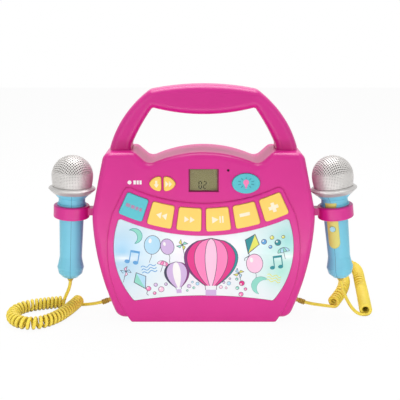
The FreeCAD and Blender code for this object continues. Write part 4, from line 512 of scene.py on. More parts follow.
# Gland rubber with painted shade between its ribs.
GLAND = PaintedShadeFinish(
    "gland_rubber",
    (206, 174, 66),
    roughness=0.55,
    shade_colour=(126, 96, 24),
    reach=0.003,
)
CRYSTAL = Finish("display_crystal", (150, 144, 104), roughness=0.45, tint_share=0.06)
WINDOW = ClearFinish("display_window_clear", (245, 245, 238), roughness=0.06, spread=0.02, tint_share=0.0)
FILM = PanelFilm(
    "light_panel_film",
    (230, 240, 242),
    roughness=0.3,
    coat=0.2,
    # Patches of painted glow on the panel film.
    glows=(
        Glow(-88.0, 80.0, 62.0, 80.0, (132, 194, 228), 1.0),
        Glow(90.0, 92.0, 60.0, 70.0, (140, 210, 206), 1.0),
        Glow(84.0, 60.0, 40.0, 44.0, (160, 226, 206), 0.8),
        Glow(0.0, 72.0, 62.0, 66.0, (250, 216, 236), 0.9),
        Glow(-86.0, 74.0, 34.0, 8.0, (243, 246, 248), 0.9),
        Glow(90.0, 76.0, 34.0, 9.0, (243, 247, 246), 0.9),
        Glow(0.0, 34.0, 110.0, 20.0, (243, 246, 246), 0.7),
    ),
)


@dataclass(frozen=True)
class InkFinish(Finish):
    """A thin layer of printing ink."""

    roughness: float = 0.5


class Ink(Enum):
    """Printing inks of signs and artwork, and the painted shade of the display recess."""

    WHITE = InkFinish("ink_white", (242, 240, 238), tint_share=0.04)
    CREAM = InkFinish("ink_cream", (248, 236, 210), tint_share=0.04)
    PALE = InkFinish("ink_pale_blue", (176, 218, 240))
    BLUE = InkFinish("ink_blue", (92, 160, 214))
    MINT = InkFinish("ink_mint", (140, 214, 196))
    TEAL = InkFinish("ink_teal", (24, 138, 146))
    PINK = InkFinish("ink_pink", (246, 128, 184))
    ROSE = InkFinish("ink_rose", (248, 196, 222))
    MAGENTA = InkFinish("ink_magenta", (222, 36, 132))
    PLUM = InkFinish("ink_plum", (118, 34, 112))
    NAVY = InkFinish("ink_navy", (58, 52, 84))
    LEMON = InkFinish("ink_lemon", (226, 226, 96))
    LILAC = InkFinish("ink_lilac", (206, 178, 220))
    DIM = InkFinish("ink_dim_pink", (176, 132, 168))
    DEEP_TEAL = InkFinish("ink_deep_teal", (46, 142, 158))
    SEGMENT = InkFinish("ink_segment", (30, 28, 22))
    GHOST = InkFinish("ink_ghost", (141, 136, 98))
    # Painted shade of the recess round the display window.
    BORDER = InkFinish("ink_display_border", (140, 46, 86), roughness=0.6)


# Meshes

ELLIPSE_CORNERS = 28
ARC_STEPS = 16
CROSS_ARMS = 4


def scene_object(name: str, data: bpy.types.ID) -> Item:
    """Put data into the scene as an object at the origin.

    Args:
        name: Name of the object.
        data: Mesh, lamp or camera that it shows.

    Returns:
        The new object, which rides on nothing yet.
    """
    item = bpy.data.objects.new(name, data)
    bpy.context.scene.collection.objects.link(item)
    return item


def mesh_object(name: str, mesh: Mesh, finishes: Sequence[Finish] = ()) -> Item:
    """Turn a built mesh into an object.

    Args:
        name: Name of the object.
        mesh: Built mesh in metres, used up here.
        finishes: Finishes in the order of the material slots.

    Returns:
        The new object, which rides on nothing yet.
    """
    data = bpy.data.meshes.new(name)
    mesh.to_mesh(data)
    mesh.free()
    for finish in finishes:
        data.materials.append(finish.material())
    return scene_object(name, data)


def finished_piece(
    name: str,
    mesh: Mesh,
    finishes: Sequence[Finish],
    body: str,
    tree: Tree | None = None,
    **values: object,
) -> Item:
    """Turn a built mesh into a piece that rides on a body.

    Args:
        name: Name of the piece.
        mesh: Built mesh in metres, used up here.
        finishes: Finishes in the order of the material slots.
        body: Body that carries the piece.
        tree: Geometry node tree that is run on the mesh before it rides, if any.
        values: Input values of the tree by socket name, with underscores for blanks.

    Returns:
        The new object, at the origin.
    """
    piece = mesh_object(name, mesh, finishes)
    if tree is not None:
        run_tree(piece, tree, **values)
    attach(piece, body)
    LOG.info("piece %s on %s", name, body)
    return piece


def smooth(piece: Item, angle: float = 35.0) -> Item:
    """Shade a piece smooth except at sharp edges.

    Args:
        piece: Mesh object.
        angle: Least angle of a sharp edge in degrees.

    Returns:
        The same object.
    """
    piece.data.shade_smooth()
    piece.data.set_sharp_from_angle(angle=math.radians(angle))
    return piece


def circle(count: int) -> list[Flat]:
    """Places round a circle of radius 1, anticlockwise from the right."""
    turns = [2 * math.pi * index / count for index in range(count)]
    return [(math.cos(turn), math.sin(turn)) for turn in turns]


def lay_skin(mesh: Mesh, rings: Sequence[Sequence[bmesh.types.BMVert]], closed: bool) -> None:
    """Lay faces from ring to ring.

    Args:
        mesh: Mesh that holds the corners.
        rings: Rings of corners, all with the same number.
        closed: Whether both ends get a face too.
    """
    for first, second in zip(rings, rings[1:]):
        for side in range(len(first)):
            following = (side + 1) % len(first)
            mesh.faces.new((first[side], first[following], second[following], second[side]))
    if closed:
        mesh.faces.new(tuple(reversed(rings[0])))
        mesh.faces.new(tuple(rings[-1]))


def tube_mesh(points: Sequence[Vector], radius: float, sides: int) -> Mesh:
    """Sweep a circle along points without twist.

    Args:
        points: Places along the middle line.
        radius: Radius of the tube.
        sides: Number of sides.

    Returns:
        Closed mesh of the tube.
    """
    mesh = bmesh.new()
    heading = (points[1] - points[0]).normalized()
    across = heading.orthogonal().normalized()
    rings = []
    for index, point in enumerate(points):
        after = points[min(index + 1, len(points) - 1)]
        before = points[max(index - 1, 0)]
        heading = (after - before).normalized()
        across = (across - heading * across.dot(heading)).normalized()
        beside = heading.cross(across)
        rings.append([mesh.verts.new(point + (across * x + beside * y) * radius) for x, y in circle(sides)])
    lay_skin(mesh, rings, True)
    return mesh


def turned_mesh(profile: Sequence[Flat], sides: int, closed: bool = True) -> Mesh:
    """Turn a profile round the upright axis.

    Args:
        profile: Radius and height of each ring, from the lower end to the top.
        sides: Number of sides.
        closed: Whether both ends get a face too.

    Returns:
        Mesh in the units of the profile.
    """
    mesh = bmesh.new()
    rings = []
    for radius, height in profile:
        rings.append([mesh.verts.new((radius * x, radius * y, height)) for x, y in circle(sides)])
    lay_skin(mesh, rings, closed)
    return mesh


def plate(mesh: Mesh, corners: Sequence[Flat], near: float, far: float) -> list[bmesh.types.BMFace]:
    """Add a closed plate between two depths.

    Args:
        mesh: Mesh that gets the plate.
        corners: Corners of its outline in metres.
        near: Depth of its front face.
        far: Depth of its back face.

    Returns:
        Front face, back face and the faces of the edge.
    """
    front = [mesh.verts.new((x, near, z)) for x, z in corners]
    back = [mesh.verts.new((x, far, z)) for x, z in corners]
    faces = [mesh.faces.new(front), mesh.faces.new(back[::-1])]
    for index in range(len(front)):
        following = (index + 1) % len(front)
        faces.append(mesh.faces.new((front[index], back[index], back[following], front[following])))
    return faces


@dataclass
class FlatPrint:
    """Thin printed shapes that lie on a flat front face, in millimetres."""

    name: str
    depth: float
    body: str
    thickness: float = 0.05
    layer_step: float = 0.02
    layer_cycle: int = 25
    centre: Flat = (0.0, 0.0)
    turn: float = 0.0
    scale: float = 1.0
    mesh: Mesh = field(default_factory=bmesh.new)
    inks: list[Ink] = field(default_factory=list)
    layer: int = 0

    def at(self, centre: Flat, turn: float = 0.0, scale: float = 1.0) -> "FlatPrint":
        """Move the drawing place.

        Args:
            centre: New place of the drawing's zero.
            turn: Turn of the drawing in degrees, anticlockwise.
            scale: Size of the drawing against the usual one.

        Returns:
            This print.
        """
        self.centre = centre
        self.turn = math.radians(turn)
        self.scale = scale
        return self

    def shape(self, points: Sequence[Flat], ink: Ink) -> None:
        """Print one filled outline as a thin closed plate.

        Args:
            points: Corners of the outline.
            ink: Ink of the shape.
        """
        if ink not in self.inks:
            self.inks.append(ink)
        self.layer += 1
        front = self.depth + self.thickness + self.layer_step * (self.layer % self.layer_cycle)
        cos, sin = math.cos(self.turn) * self.scale, math.sin(self.turn) * self.scale
        placed = []
        for x, z in points:
            placed.append((self.centre[0] + x * cos - z * sin, self.centre[1] + x * sin + z * cos))
        area = sum(a[0] * b[1] - b[0] * a[1] for a, b in zip(placed, placed[1:] + placed[:1]))
        if area < 0:
            placed.reverse()
        corners = [(x * MM, z * MM) for x, z in placed]
        faces = plate(self.mesh, corners, -front * MM, -self.depth * MM)
        for face in faces:
            face.material_index = self.inks.index(ink)
            face.normal_update()
        bmesh.ops.triangulate(self.mesh, faces=faces[:2])

    def disc(self, x: float, z: float, radius: float, ink: Ink, high_share: float = 1.0) -> None:
        """Print a filled circle, or an ellipse whose height is a share of its width."""
        self.shape(ellipse(x, z, radius, radius * high_share), ink)

    def line(self, points: Sequence[Flat], width: float, ink: Ink) -> None:
        """Print a stroke of even width along points.

        Args:
            points: Places along the stroke.
            width: Width of the stroke.
            ink: Ink of the stroke.
        """
        left = []
        right = []
        for index, (x, z) in enumerate(points):
            ahead = points[min(index + 1, len(points) - 1)]
            behind = points[max(index - 1, 0)]
            way = Vector((ahead[0] - behind[0], ahead[1] - behind[1])).normalized() * (width / 2)
            left.append((x - way.y, z + way.x))
            right.append((x + way.y, z - way.x))
        self.shape(left + right[::-1], ink)

    def finish(self) -> Item:
        """Give the print as one piece."""
        return finished_piece(self.name, self.mesh, [ink.value for ink in self.inks], self.body)


def ellipse(x: float, z: float, half_width: float, half_height: float) -> list[Flat]:
    """Corners of an ellipse round its middle, anticlockwise."""
    return [(x + half_width * right, z + half_height * up) for right, up in circle(ELLIPSE_CORNERS)]


def arc(x: float, z: float, radius: float, start: float, end: float) -> list[Flat]:
    """Places along an arc round its centre, from one angle to another in degrees from the right."""
    turns = [math.radians(start + (end - start) * index / ARC_STEPS) for index in range(ARC_STEPS + 1)]
    return [(x + radius * math.cos(turn), z + radius * math.sin(turn)) for turn in turns]


def bar(x: float, z: float, width: float, height: float) -> tuple[Flat, ...]:
    """Corners of a bar round its middle, anticlockwise."""
    right, top = width / 2, height / 2
    return ((x - right, z - top), (x + right, z - top), (x + right, z + top), (x - right, z + top))


def arrow(x: float, length: float, half: float) -> tuple[Flat, ...]:
    """Corners of an arrow head on its base, which points to the left where the length is below zero."""
    return ((x, half), (x, -half), (x + length, 0.0))


def cross_outline(half: float, arm: float) -> list[Flat]:
    """Corners of a cross.

    Args:
        half: Half the width of its arms.
        arm: Reach of its arms from the middle.

    Returns:
        Corners, anticlockwise.
    """
    corners = []
    quarter = [(-half, arm), (-half, half), (-arm, half)]
    for _ in range(CROSS_ARMS):
        corners += quarter
        quarter = [(-z, x) for x, z in quarter]
    return corners


# Geometry node trees

GEOMETRY = ("Geometry", "Geometry")
SKIN_MERGE = 0.02 * MM


def end_tree(tree: Tree, geometry: Socket) -> None:
    """Close a tree with real geometry and its material.

    Args:
        tree: Tree to close.
        geometry: Socket that puts out the built shape.
    """
    source = tree.nodes["Group Input"]
    real = tree.nodes.new("GeometryNodeRealizeInstances")
    paint = tree.nodes.new("GeometryNodeSetMaterial")
    tree.links.new(geometry, real.inputs[0])
    tree.links.new(real.outputs[0], paint.inputs["Geometry"])
    tree.links.new(source.outputs["Finish"], paint.inputs["Material"])
    tree.links.new(paint.outputs[0], tree.nodes["Group Output"].inputs[0])


def run_tree(piece: Item, tree: Tree, **values: object) -> None:
    """Run a tree on a piece and keep the plain mesh that comes out.

    Args:
        piece: Object whose mesh goes in and is replaced.
        tree: Geometry node tree.
        values: Input values by socket name, with underscores for blanks.
    """
    modifier = piece.modifiers.new("nodes", "NODES")
    modifier.node_group = tree
    for item in tree.interface.items_tree:
        name = item.name.replace(" ", "_")
        if item.item_type == "SOCKET" and item.in_out == "INPUT" and name in values:
            modifier[item.identifier] = values[name]
    bpy.context.view_layer.update()
    evaluated = piece.evaluated_get(bpy.context.evaluated_depsgraph_get())
    made = bpy.data.meshes.new_from_object(evaluated)
    piece.modifiers.remove(modifier)
    piece.data = made


def perforated_tree() -> Tree:
    """Build the tree that opens a hole in every face of a skin and gives it thickness.

    Returns:
        Tree with the inputs Hole Share, Wall and Finish.
    """
    inputs = (GEOMETRY, ("Hole Share", "Float"), ("Wall", "Float"), ("Finish", "Material"))
    tree = node_group("perforated_skin", "GeometryNodeTree", inputs, (GEOMETRY,))
    given = tree.nodes["Group Input"].outputs
    link = tree.links.new
    inset = add_node(tree, "GeometryNodeExtrudeMesh", Offset_Scale=0.0, Individual=True)
    link(given["Geometry"], inset.inputs["Mesh"])
    shrink = add_node(tree, "GeometryNodeScaleElements")
    link(inset.outputs["Mesh"], shrink.inputs["Geometry"])
    link(inset.outputs["Top"], shrink.inputs["Selection"])
    link(given["Hole Share"], shrink.inputs["Scale"])
    remove = add_node(tree, "GeometryNodeDeleteGeometry")
    remove.domain = "FACE"
    link(shrink.outputs[0], remove.inputs["Geometry"])
    link(inset.outputs["Top"], remove.inputs["Selection"])
    merge = add_node(tree, "GeometryNodeMergeByDistance", Distance=SKIN_MERGE)
    link(remove.outputs[0], merge.inputs["Geometry"])
    thick = add_node(tree, "GeometryNodeExtrudeMesh", Individual=False)
    link(math_node(tree, "MULTIPLY", given["Wall"], -1.0), thick.inputs["Offset Scale"])
    link(merge.outputs[0], thick.inputs["Mesh"])
    for node in (inset, thick):
        node.mode = "FACES"
    both = add_node(tree, "GeometryNodeJoinGeometry")
    link(thick.outputs["Mesh"], both.inputs[0])
    link(merge.outputs[0], both.inputs[0])
    end_tree(tree, both.outputs[0])
    return tree


def scatter_tree() -> Tree:
    """Build the tree that sets a copy of one shape on every point.

    Returns:
        Tree with the inputs Shape and Finish.
    """
    inputs = (GEOMETRY, ("Shape", "Object"), ("Finish", "Material"))
    tree = node_group("set_on_points", "GeometryNodeTree", inputs, (GEOMETRY,))
    given = tree.nodes["Group Input"].outputs
    info = add_node(tree, "GeometryNodeObjectInfo")
    tree.links.new(given["Shape"], info.inputs["Object"])
    copies = add_node(tree, "GeometryNodeInstanceOnPoints")
    tree.links.new(given["Geometry"], copies.inputs["Points"])
    tree.links.new(info.outputs["Geometry"], copies.inputs["Instance"])
    end_tree(tree, copies.outputs[0])
    return tree


def set_on_points(
    name: str,
    shape: Item,
    places: Iterable[Vector],
    finish: Finish,
    body: str,
    tree: Tree,
) -> Item:
    """Make a piece of copies of one shape.

    Args:
        name: Name of the piece.
        shape: Scratch shape in metres.
        places: Places of the copies in millimetres.
        finish: Finish of the copies.
        body: Body that carries the piece.
        tree: Tree that sets copies on points.

    Returns:
        The new object.
    """
    mesh = bmesh.new()
    for place in places:
        mesh.verts.new(place * MM)
    return finished_piece(name, mesh, [finish], body, tree, Shape=shape, Finish=finish.material())


# Sub-assemblies

@dataclass
class Solids:
    """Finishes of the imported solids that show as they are."""

    finishes: dict[str, Finish] = field(default_factory=lambda: {
        "case_pink": PINK,
        "key_yellow": YELLOW,
        "key_teal": TEAL,
        "panel_print": FILM,
        "diffuser_white": FROST,
        "reflector_white": WHITE,
        "window_clear": WINDOW,
        "display_grey": CRYSTAL,
        "board_green": BOARD,
        "membrane_grey": MEMBRANE,
        "black_plastic": BLACK,
        "steel_plain": STEEL,
        "mic_blue": SKY,
        "mic_silver": SILVER,
        "plate_yellow": PLATE,
        "talk_blue": TALK,
        "cord_yellow": SHEATH,
    })
    by_ending: dict[str, Finish] = field(default_factory=lambda: {"_gland": GLAND, "_collar": COLLAR})

    def dress(self) -> None:
        """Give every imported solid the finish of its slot."""
        for row in frame["record"]["subparts"]:
            node = frame["nodes"][row["node"]]
            finish = self.finishes[row["material_slot"]]
            for ending, other in self.by_ending.items():
                if row["node"].endswith(ending):
                    finish = other
            if finish is SKY:
                side = Side(row["node"].split("_")[0])
                finish = MICROPHONES[side].shell()
            material = finish.material()
            node.data.materials.clear()
            node.data.materials.append(material)
            LOG.info("solid %s in %s", row["node"], material.name)


@dataclass
class KeySigns:
    """Printed signs on the keys and beside them, in millimetres."""

    fan_radius: float = 200.0
    fan_centre: float = 317.0
    pitch: float = 8.64
    middle_index: float = 2.5
    mode_bars: tuple[Flat, ...] = ((-6.6, 4.6), (-1.2, 4.0), (3.4, 3.2), (7.4, 2.6))
    mode_height: float = 3.6
    pair: Flat = (-5.4, 0.6)
    back_length: float = 5.2
    back_half: float = 3.7
    forward_length: float = 5.0
    forward_half: float = 3.4
    play_x: float = -6.2
    play_length: float = 6.8
    play_half: float = 3.8
    pauses: Flat = (2.4, 5.2)
    pause_width: float = 1.5
    pause_height: float = 7.4
    minus: tuple[float, ...] = (-1.2, 1.4, 11.0, 3.6)
    plus_half: float = 1.9
    plus_arm: float = 5.2
    record_place: Flat = (-49.8, 155.7)
    record_stem: tuple[float, ...] = (0.0, 1.4, 2.2, 4.4)
    record_tip: tuple[Flat, ...] = ((-2.8, -0.4), (0.0, -4.0), (2.8, -0.4))
    replay_place: Flat = (-37.2, 155.7)
    replay_pair: Flat = (-3.0, 0.6)
    replay_length: float = 3.2
    replay_half: float = 3.4
    mark_place: Flat = (-78.0, 157.1)
    mark_face: float = 33.0
    mark_dot: float = 2.1
    mark_bars: tuple[Flat, ...] = ((5.4, 2.6), (8.6, 2.2), (11.6, 2.2))
    mark_height: float = 4.2
    light_place: Flat = (44.5, 156.1)
    rays: int = 10
    ray_ends: Flat = (5.0, 7.6)
    ray_shares: Flat = (1.15, 0.8)
    ray_z: float = 0.8
    ray_width: float = 0.8
    bulb_z: float = 1.4
    bulb_radius: float = 3.0
    neck: tuple[Flat, ...] = ((-1.9, -0.6), (-1.1, -3.6), (1.1, -3.6), (1.9, -0.6))
    foot: tuple[float, ...] = (0.0, -4.5, 2.0, 0.9)

    def build(self) -> None:
        """Print all signs."""
        self.fan_signs()
        self.record_signs()
        self.light_sign()

    def print_on(self, name: str) -> FlatPrint:
        """Start a print that rides on the front face of a key."""
        node = f"{name}_button"
        return FlatPrint(f"{name}_sign", -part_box(node)[0].y / MM, node)

    def sign(self, face: FlatPrint, outlines: Iterable[Sequence[Flat]], ink: Ink) -> None:
        """Print one sign.

        Args:
            face: Print set to the middle of the sign.
            outlines: Outlines of the sign.
            ink: Ink of the sign.
        """
        for outline in outlines:
            face.shape(outline, ink)
        face.finish()

    def fan_signs(self) -> None:
        """Bars, arrows, minus and plus on the keys of the fan, from left to right."""
        pauses = [bar(x, 0.0, self.pause_width, self.pause_height) for x in self.pauses]
        signs = {
            "mode": [bar(x, 0.0, width, self.mode_height) for x, width in self.mode_bars],
            "rewind": [arrow(x + self.back_length, -self.back_length, self.back_half) for x in self.pair],
            "forward": [arrow(x, self.forward_length, self.forward_half) for x in self.pair],
            "play": [arrow(self.play_x, self.play_length, self.play_half)] + pauses,
            "volume_down": [bar(*self.minus)],
            "volume_up": [cross_outline(self.plus_half, self.plus_arm)],
        }
        for index, (name, outlines) in enumerate(signs.items()):
            angle = self.pitch * (index - self.middle_index)
            turn = math.radians(angle)
            middle = (self.fan_radius * math.sin(turn), self.fan_centre - self.fan_radius * math.cos(turn))
            ink = Ink.DIM if name == "mode" else Ink.CREAM
            self.sign(self.print_on(name).at(middle, angle), outlines, ink)

    def record_signs(self) -> None:
        """Arrows on the half-oval keys, and a dot with bars beside them."""
        record = [bar(*self.record_stem), self.record_tip]
        self.sign(self.print_on("record").at(self.record_place), record, Ink.CREAM)
        replay = [arrow(x, self.replay_length, self.replay_half) for x in self.replay_pair]
        self.sign(self.print_on("replay").at(self.replay_place), replay, Ink.CREAM)
        beside = FlatPrint("record_mark", self.mark_face, CASE_BODY).at(self.mark_place)
        dot = ellipse(0.0, 0.0, self.mark_dot, self.mark_dot)
        bars = [bar(x, 0.0, width, self.mark_height) for x, width in self.mark_bars]
        self.sign(beside, [dot] + bars, Ink.WHITE)

    def light_sign(self) -> None:
        """Lamp with rays on the oval key."""
        lamp = self.print_on("light").at(self.light_place)
        wide, high = self.ray_shares
        for index in range(self.rays):
            turn = math.pi * (2 * index + 1) / self.rays
            right, up = math.cos(turn) * wide, math.sin(turn) * high
            path = [(right * end, self.ray_z + up * end) for end in self.ray_ends]
            lamp.line(path, self.ray_width, Ink.DEEP_TEAL)
        lamp.disc(0.0, self.bulb_z, self.bulb_radius, Ink.PINK)
        self.sign(lamp, (self.neck, bar(*self.foot)), Ink.PINK)


@dataclass
class DisplayFace:
    """Segments on the display and the painted shade along the edge of its window, in millimetres."""

    middle_z: float = 159.0
    digit_x: float = -3.6
    digit_z: float = 153.5
    half_width: float = 1.4
    half_height: float = 3.9
    stroke: float = 1.0
    step: float = 4.8
    digits: tuple[str, ...] = ("abcdef", "abged")
    mark: tuple[float, ...] = (-11.0, 6.4, 1.6, 1.6)
    dashes: tuple[float, ...] = (-4.0, 0.0, 4.0, 8.0)
    dash_z: float = 7.4
    dash_width: float = 2.4
    dash_height: float = 0.5
    opening_half_width: float = 15.9
    opening_half_height: float = 12.4
    # Widths of the painted shade of the recess at the sides, top and foot of the opening.
    recess_shade_side: float = 1.5
    border_top: float = 0.9
    recess_shade_foot: float = 1.2
    film: float = 0.02
    film_step: float = 0.002

    def build(self) -> None:
        """Print the digits, the faint marks round them and the painted shade of the recess."""
        face = self.film_on("display_segments", "display_module")
        for index, lit in enumerate(self.digits):
            self.digit(face.at((self.digit_x + self.step * index, self.digit_z)), lit)
        face.at((0.0, self.middle_z)).shape(bar(*self.mark), Ink.GHOST)
        for x in self.dashes:
            face.shape(bar(x, self.dash_z, self.dash_width, self.dash_height), Ink.GHOST)
        face.finish()
        self.paint_recess_shade()

    def film_on(self, name: str, node: str) -> FlatPrint:
        """Start a thin print on the front face of a node."""
        depth = -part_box(node)[0].y / MM
        return FlatPrint(name, depth, CASE_BODY, thickness=self.film, layer_step=self.film_step)

    def paint_recess_shade(self) -> None:
        """Paint the shade of the recess as dark bands on the window along the edge of its opening."""
        edge = self.film_on("display_border", "display_window").at((0.0, self.middle_z))
        wide, high = self.opening_half_width, self.opening_half_height
        aside = wide - self.recess_shade_side / 2
        for x in (-aside, aside):
            edge.shape(bar(x, 0.0, self.recess_shade_side, 2 * high), Ink.BORDER)
        edge.shape(bar(0.0, high - self.border_top / 2, 2 * wide, self.border_top), Ink.BORDER)
        edge.shape(bar(0.0, self.recess_shade_foot / 2 - high, 2 * wide, self.recess_shade_foot), Ink.BORDER)
        edge.finish()

    def digit(self, face: FlatPrint, lit: str) -> None:
        """Print one digit of seven segments.

        Args:
            face: Print set to the middle of the digit.
            lit: Letters of the segments that are on.
        """
        wide, high, thick = self.half_width, self.half_height, self.stroke
        places = {
            "a": bar(0.0, high, 2 * wide - thick, thick),
            "g": bar(0.0, 0.0, 2 * wide - thick, thick),
            "d": bar(0.0, -high, 2 * wide - thick, thick),
            "b": bar(wide, high / 2, thick, high - thick),
            "c": bar(wide, -high / 2, thick, high - thick),
            "f": bar(-wide, high / 2, thick, high - thick),
            "e": bar(-wide, -high / 2, thick, high - thick),
        }
        for letter, corners in places.items():
            face.shape(corners, Ink.SEGMENT if letter in lit else Ink.GHOST)


@dataclass(frozen=True)
class Spot:
    """Place of a motif on the light panel, in millimetres and degrees."""

    x: float
    z: float
    turn: float = 0.0
    scale: float = 1.0


@dataclass
class PanelArt:
    """Pastel print on the light panel: balloons, kites, notes, moons and bubbles, in millimetres."""

    outline: float = 0.55
    film: float = 0.02
    film_step: float = 0.008
    gores: tuple[Ink, ...] = (Ink.PLUM, Ink.MAGENTA, Ink.PINK, Ink.ROSE, Ink.PINK, Ink.MAGENTA, Ink.TEAL)
    small_gores: tuple[Ink, ...] = (Ink.NAVY, Ink.LILAC, Ink.WHITE, Ink.LILAC, Ink.PLUM)

    def build(self) -> None:
        """Print the whole panel, motif by motif."""
        depth = -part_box("light_panel")[0].y / MM
        art = FlatPrint("panel_print", depth, CASE_BODY, thickness=self.film, layer_step=self.film_step)
        motifs = (
            (self.air_balloon, Spot(8.0, 74.5), 29.0, 22.0, self.gores),
            (self.air_balloon, Spot(-29.0, 58.0, 6.0), 13.5, 12.0, self.small_gores),
            (self.moon, Spot(-74.0, 99.0, 20.0), 8.4, Ink.MINT),
            (self.party_balloon, Spot(-55.0, 89.0, -8.0), 8.4, Ink.PALE),
            (self.party_balloon, Spot(-39.0, 87.0, 10.0), 7.0, Ink.LILAC),
            (self.note, Spot(-77.0, 75.0, -10.0, 1.35), Ink.BLUE),
            (self.waves, Spot(-59.0, 62.0, 12.0, 1.3), Ink.BLUE),
            (self.kite, Spot(-69.0, 50.0, 28.0, 1.15), Ink.MINT, Ink.PALE),
            (self.bubbles, Spot(-52.0, 38.0, 0.0, 1.3), Ink.PINK, Ink.LILAC, Ink.ROSE),
            (self.kite, Spot(52.0, 92.0, -18.0, 1.25), Ink.TEAL, Ink.LEMON),
            (self.bubbles, Spot(73.0, 91.0, 0.0, 1.4), Ink.BLUE, Ink.LEMON, Ink.TEAL),
            (self.party_balloon, Spot(55.0, 68.0, 6.0), 8.6, Ink.ROSE),
            (self.note, Spot(78.0, 69.0, 8.0, 1.3), Ink.TEAL),
            (self.moon, Spot(62.0, 43.0, 150.0), 10.0, Ink.MINT),
            (self.waves, Spot(76.0, 51.0, -10.0, 1.2), Ink.LEMON),
            (self.bubbles, Spot(42.0, 40.0, 90.0, 1.2), Ink.PINK, Ink.MINT, Ink.MAGENTA),
            (self.pinwheel, Spot(-23.0, 89.0, 12.0, 0.9), Ink.MINT, Ink.LEMON),
            (self.pinwheel, Spot(-84.0, 59.0, -14.0, 0.85), Ink.PALE, Ink.ROSE),
            (self.pinwheel, Spot(38.0, 57.0, 16.0, 0.85), Ink.LEMON, Ink.PALE),
            (self.parasol, Spot(-44.0, 66.0, -18.0, 0.8), Ink.ROSE, Ink.PINK),
            (self.parasol, Spot(86.0, 81.0, 14.0, 0.8), Ink.MINT, Ink.PALE),
            (self.bubbles, Spot(24.0, 43.0, 30.0, 0.9), Ink.ROSE, Ink.LILAC, Ink.PALE),
            (self.bubbles, Spot(-12.0, 44.0, 200.0, 0.9), Ink.PALE, Ink.MINT, Ink.LILAC),
        )
        for draw, spot, *values in motifs:
            draw(art.at((spot.x, spot.z), spot.turn, spot.scale), *values)
        art.finish()

    def pinwheel(self, art: FlatPrint, *inks: Ink) -> None:
        """Print a pinwheel on its stick.

        Args:
            art: Print set to the hub.
            inks: Inks of its blades in turn.
        """
        reach, root, stick, hub = 7.0, 4.6, 15.0, 1.0
        blades = 4
        middle = (0.0, 0.0)
        art.line([middle, (0.0, -stick)], self.outline, Ink.NAVY)
        for index in range(blades):
            turn = 2 * math.pi * index / blades
            half = turn + math.pi / blades
            tip = (reach * math.cos(turn), reach * math.sin(turn))
            side = (root * math.cos(half), root * math.sin(half))
            art.shape((middle, tip, side), inks[index % len(inks)])
            for edge in ([middle, tip], [tip, side], [side, middle]):
                art.line(edge, self.outline, Ink.NAVY)
        art.disc(0.0, 0.0, hub, Ink.NAVY)

    def parasol(self, art: FlatPrint, *inks: Ink) -> None:
        """Print an open parasol.

        Args:
            art: Print set to the middle of its lower edge.
            inks: Inks of its gores in turn.
        """
        radius, rise, stick = 8.0, 6.4, 10.0
        gores, steps = 4, 8

        def rib(index: int) -> list[Flat]:
            """Places up one rib, from its lower end to the top.

            Args:
                index: Number of the rib from the left.

            Returns:
                Places along the rib.
            """
            share = 2 * index / gores - 1
            turns = [math.pi / 2 * step / steps for step in range(steps + 1)]
            return [(radius * share * math.cos(turn), rise * math.sin(turn)) for turn in turns]

        art.line([(0.0, 0.0), (0.0, -stick)], self.outline, Ink.NAVY)
        for index in range(gores):
            left, right = rib(index), rib(index + 1)
            art.shape(left + right[::-1][1:], inks[index % len(inks)])
            for edge in (left, right, [left[0], right[0]]):
                art.line(edge, self.outline, Ink.NAVY)

    def air_balloon(
        self, art: FlatPrint, half_width: float, half_height: float, gores: Sequence[Ink]
    ) -> None:
        """Print a striped air balloon with its basket.

        Args:
            art: Print set to the middle of the envelope.
            half_width: Half the width of the envelope.
            half_height: Half its height above the middle; it is half as much longer below.
            gores: Inks of the stripes from left to right.
        """
        steps = 14
        stretch_share, narrow_share, mouth_share = 1.45, 0.78, 0.22
        basket_share, basket_height_share = 0.2, 1.6

        def seam(index: int) -> list[Flat]:
            """Places down one seam of the envelope.

            Args:
                index: Number of the seam from the left.

            Returns:
                Places along the seam.
            """
            width = -math.cos(math.pi * index / len(gores)) * half_width
            places = []
            for step in range(steps + 1):
                level = 1 - 2 * step / steps
                if level > 0:
                    places.append((width * math.sqrt(1 - level * level), half_height * level))
                else:
                    swell = 1 - narrow_share * level * level
                    places.append((width * swell, half_height * level * stretch_share))
            return places

        for index, ink in enumerate(gores):
            art.shape(seam(index) + seam(index + 1)[::-1], ink)
        for index in range(len(gores) + 1):
            art.line(seam(index), self.outline, Ink.NAVY)
        low = -stretch_share * half_height
        basket = basket_share * half_width
        height = basket_height_share * basket
        art.shape(bar(0.0, low - height, 2 * basket, height), Ink.LILAC)
        for side in (-1, 1):
            rope = [(side * mouth_share * half_width, low), (side * basket, low - height / 2)]
            art.line(rope, self.outline, Ink.NAVY)

    def moon(self, art: FlatPrint, radius: float, ink: Ink) -> None:
        """Print a crescent with an outline.

        Args:
            art: Print set to the middle of the moon.
            radius: Outer radius.
            ink: Ink of the crescent.
        """
        bow, inner_bow = 110.0, 73.0
        shift_share, inner_share = 0.62, 0.98
        outer = arc(0.0, 0.0, radius, -bow, bow)
        inner = arc(-shift_share * radius, 0.0, inner_share * radius, inner_bow, -inner_bow)
        art.shape(outer + inner, ink)
        for edge in (outer, inner):
            art.line(edge, self.outline, Ink.TEAL)

    def tail(self, art: FlatPrint, top: float, step: float, sway: float, bend: float, width: float) -> None:
        """Print a string that hangs in waves.

        Args:
            art: Print set to the middle of the motif.
            top: Height of its upper end.
            step: Height of each step down.
            sway: Swing to either side.
            bend: Turn of the wave from step to step.
            width: Width of the string.
        """
        knots = 7
        path = [(sway * math.sin(index * bend), top - step * index) for index in range(knots)]
        art.line(path, width, Ink.NAVY)

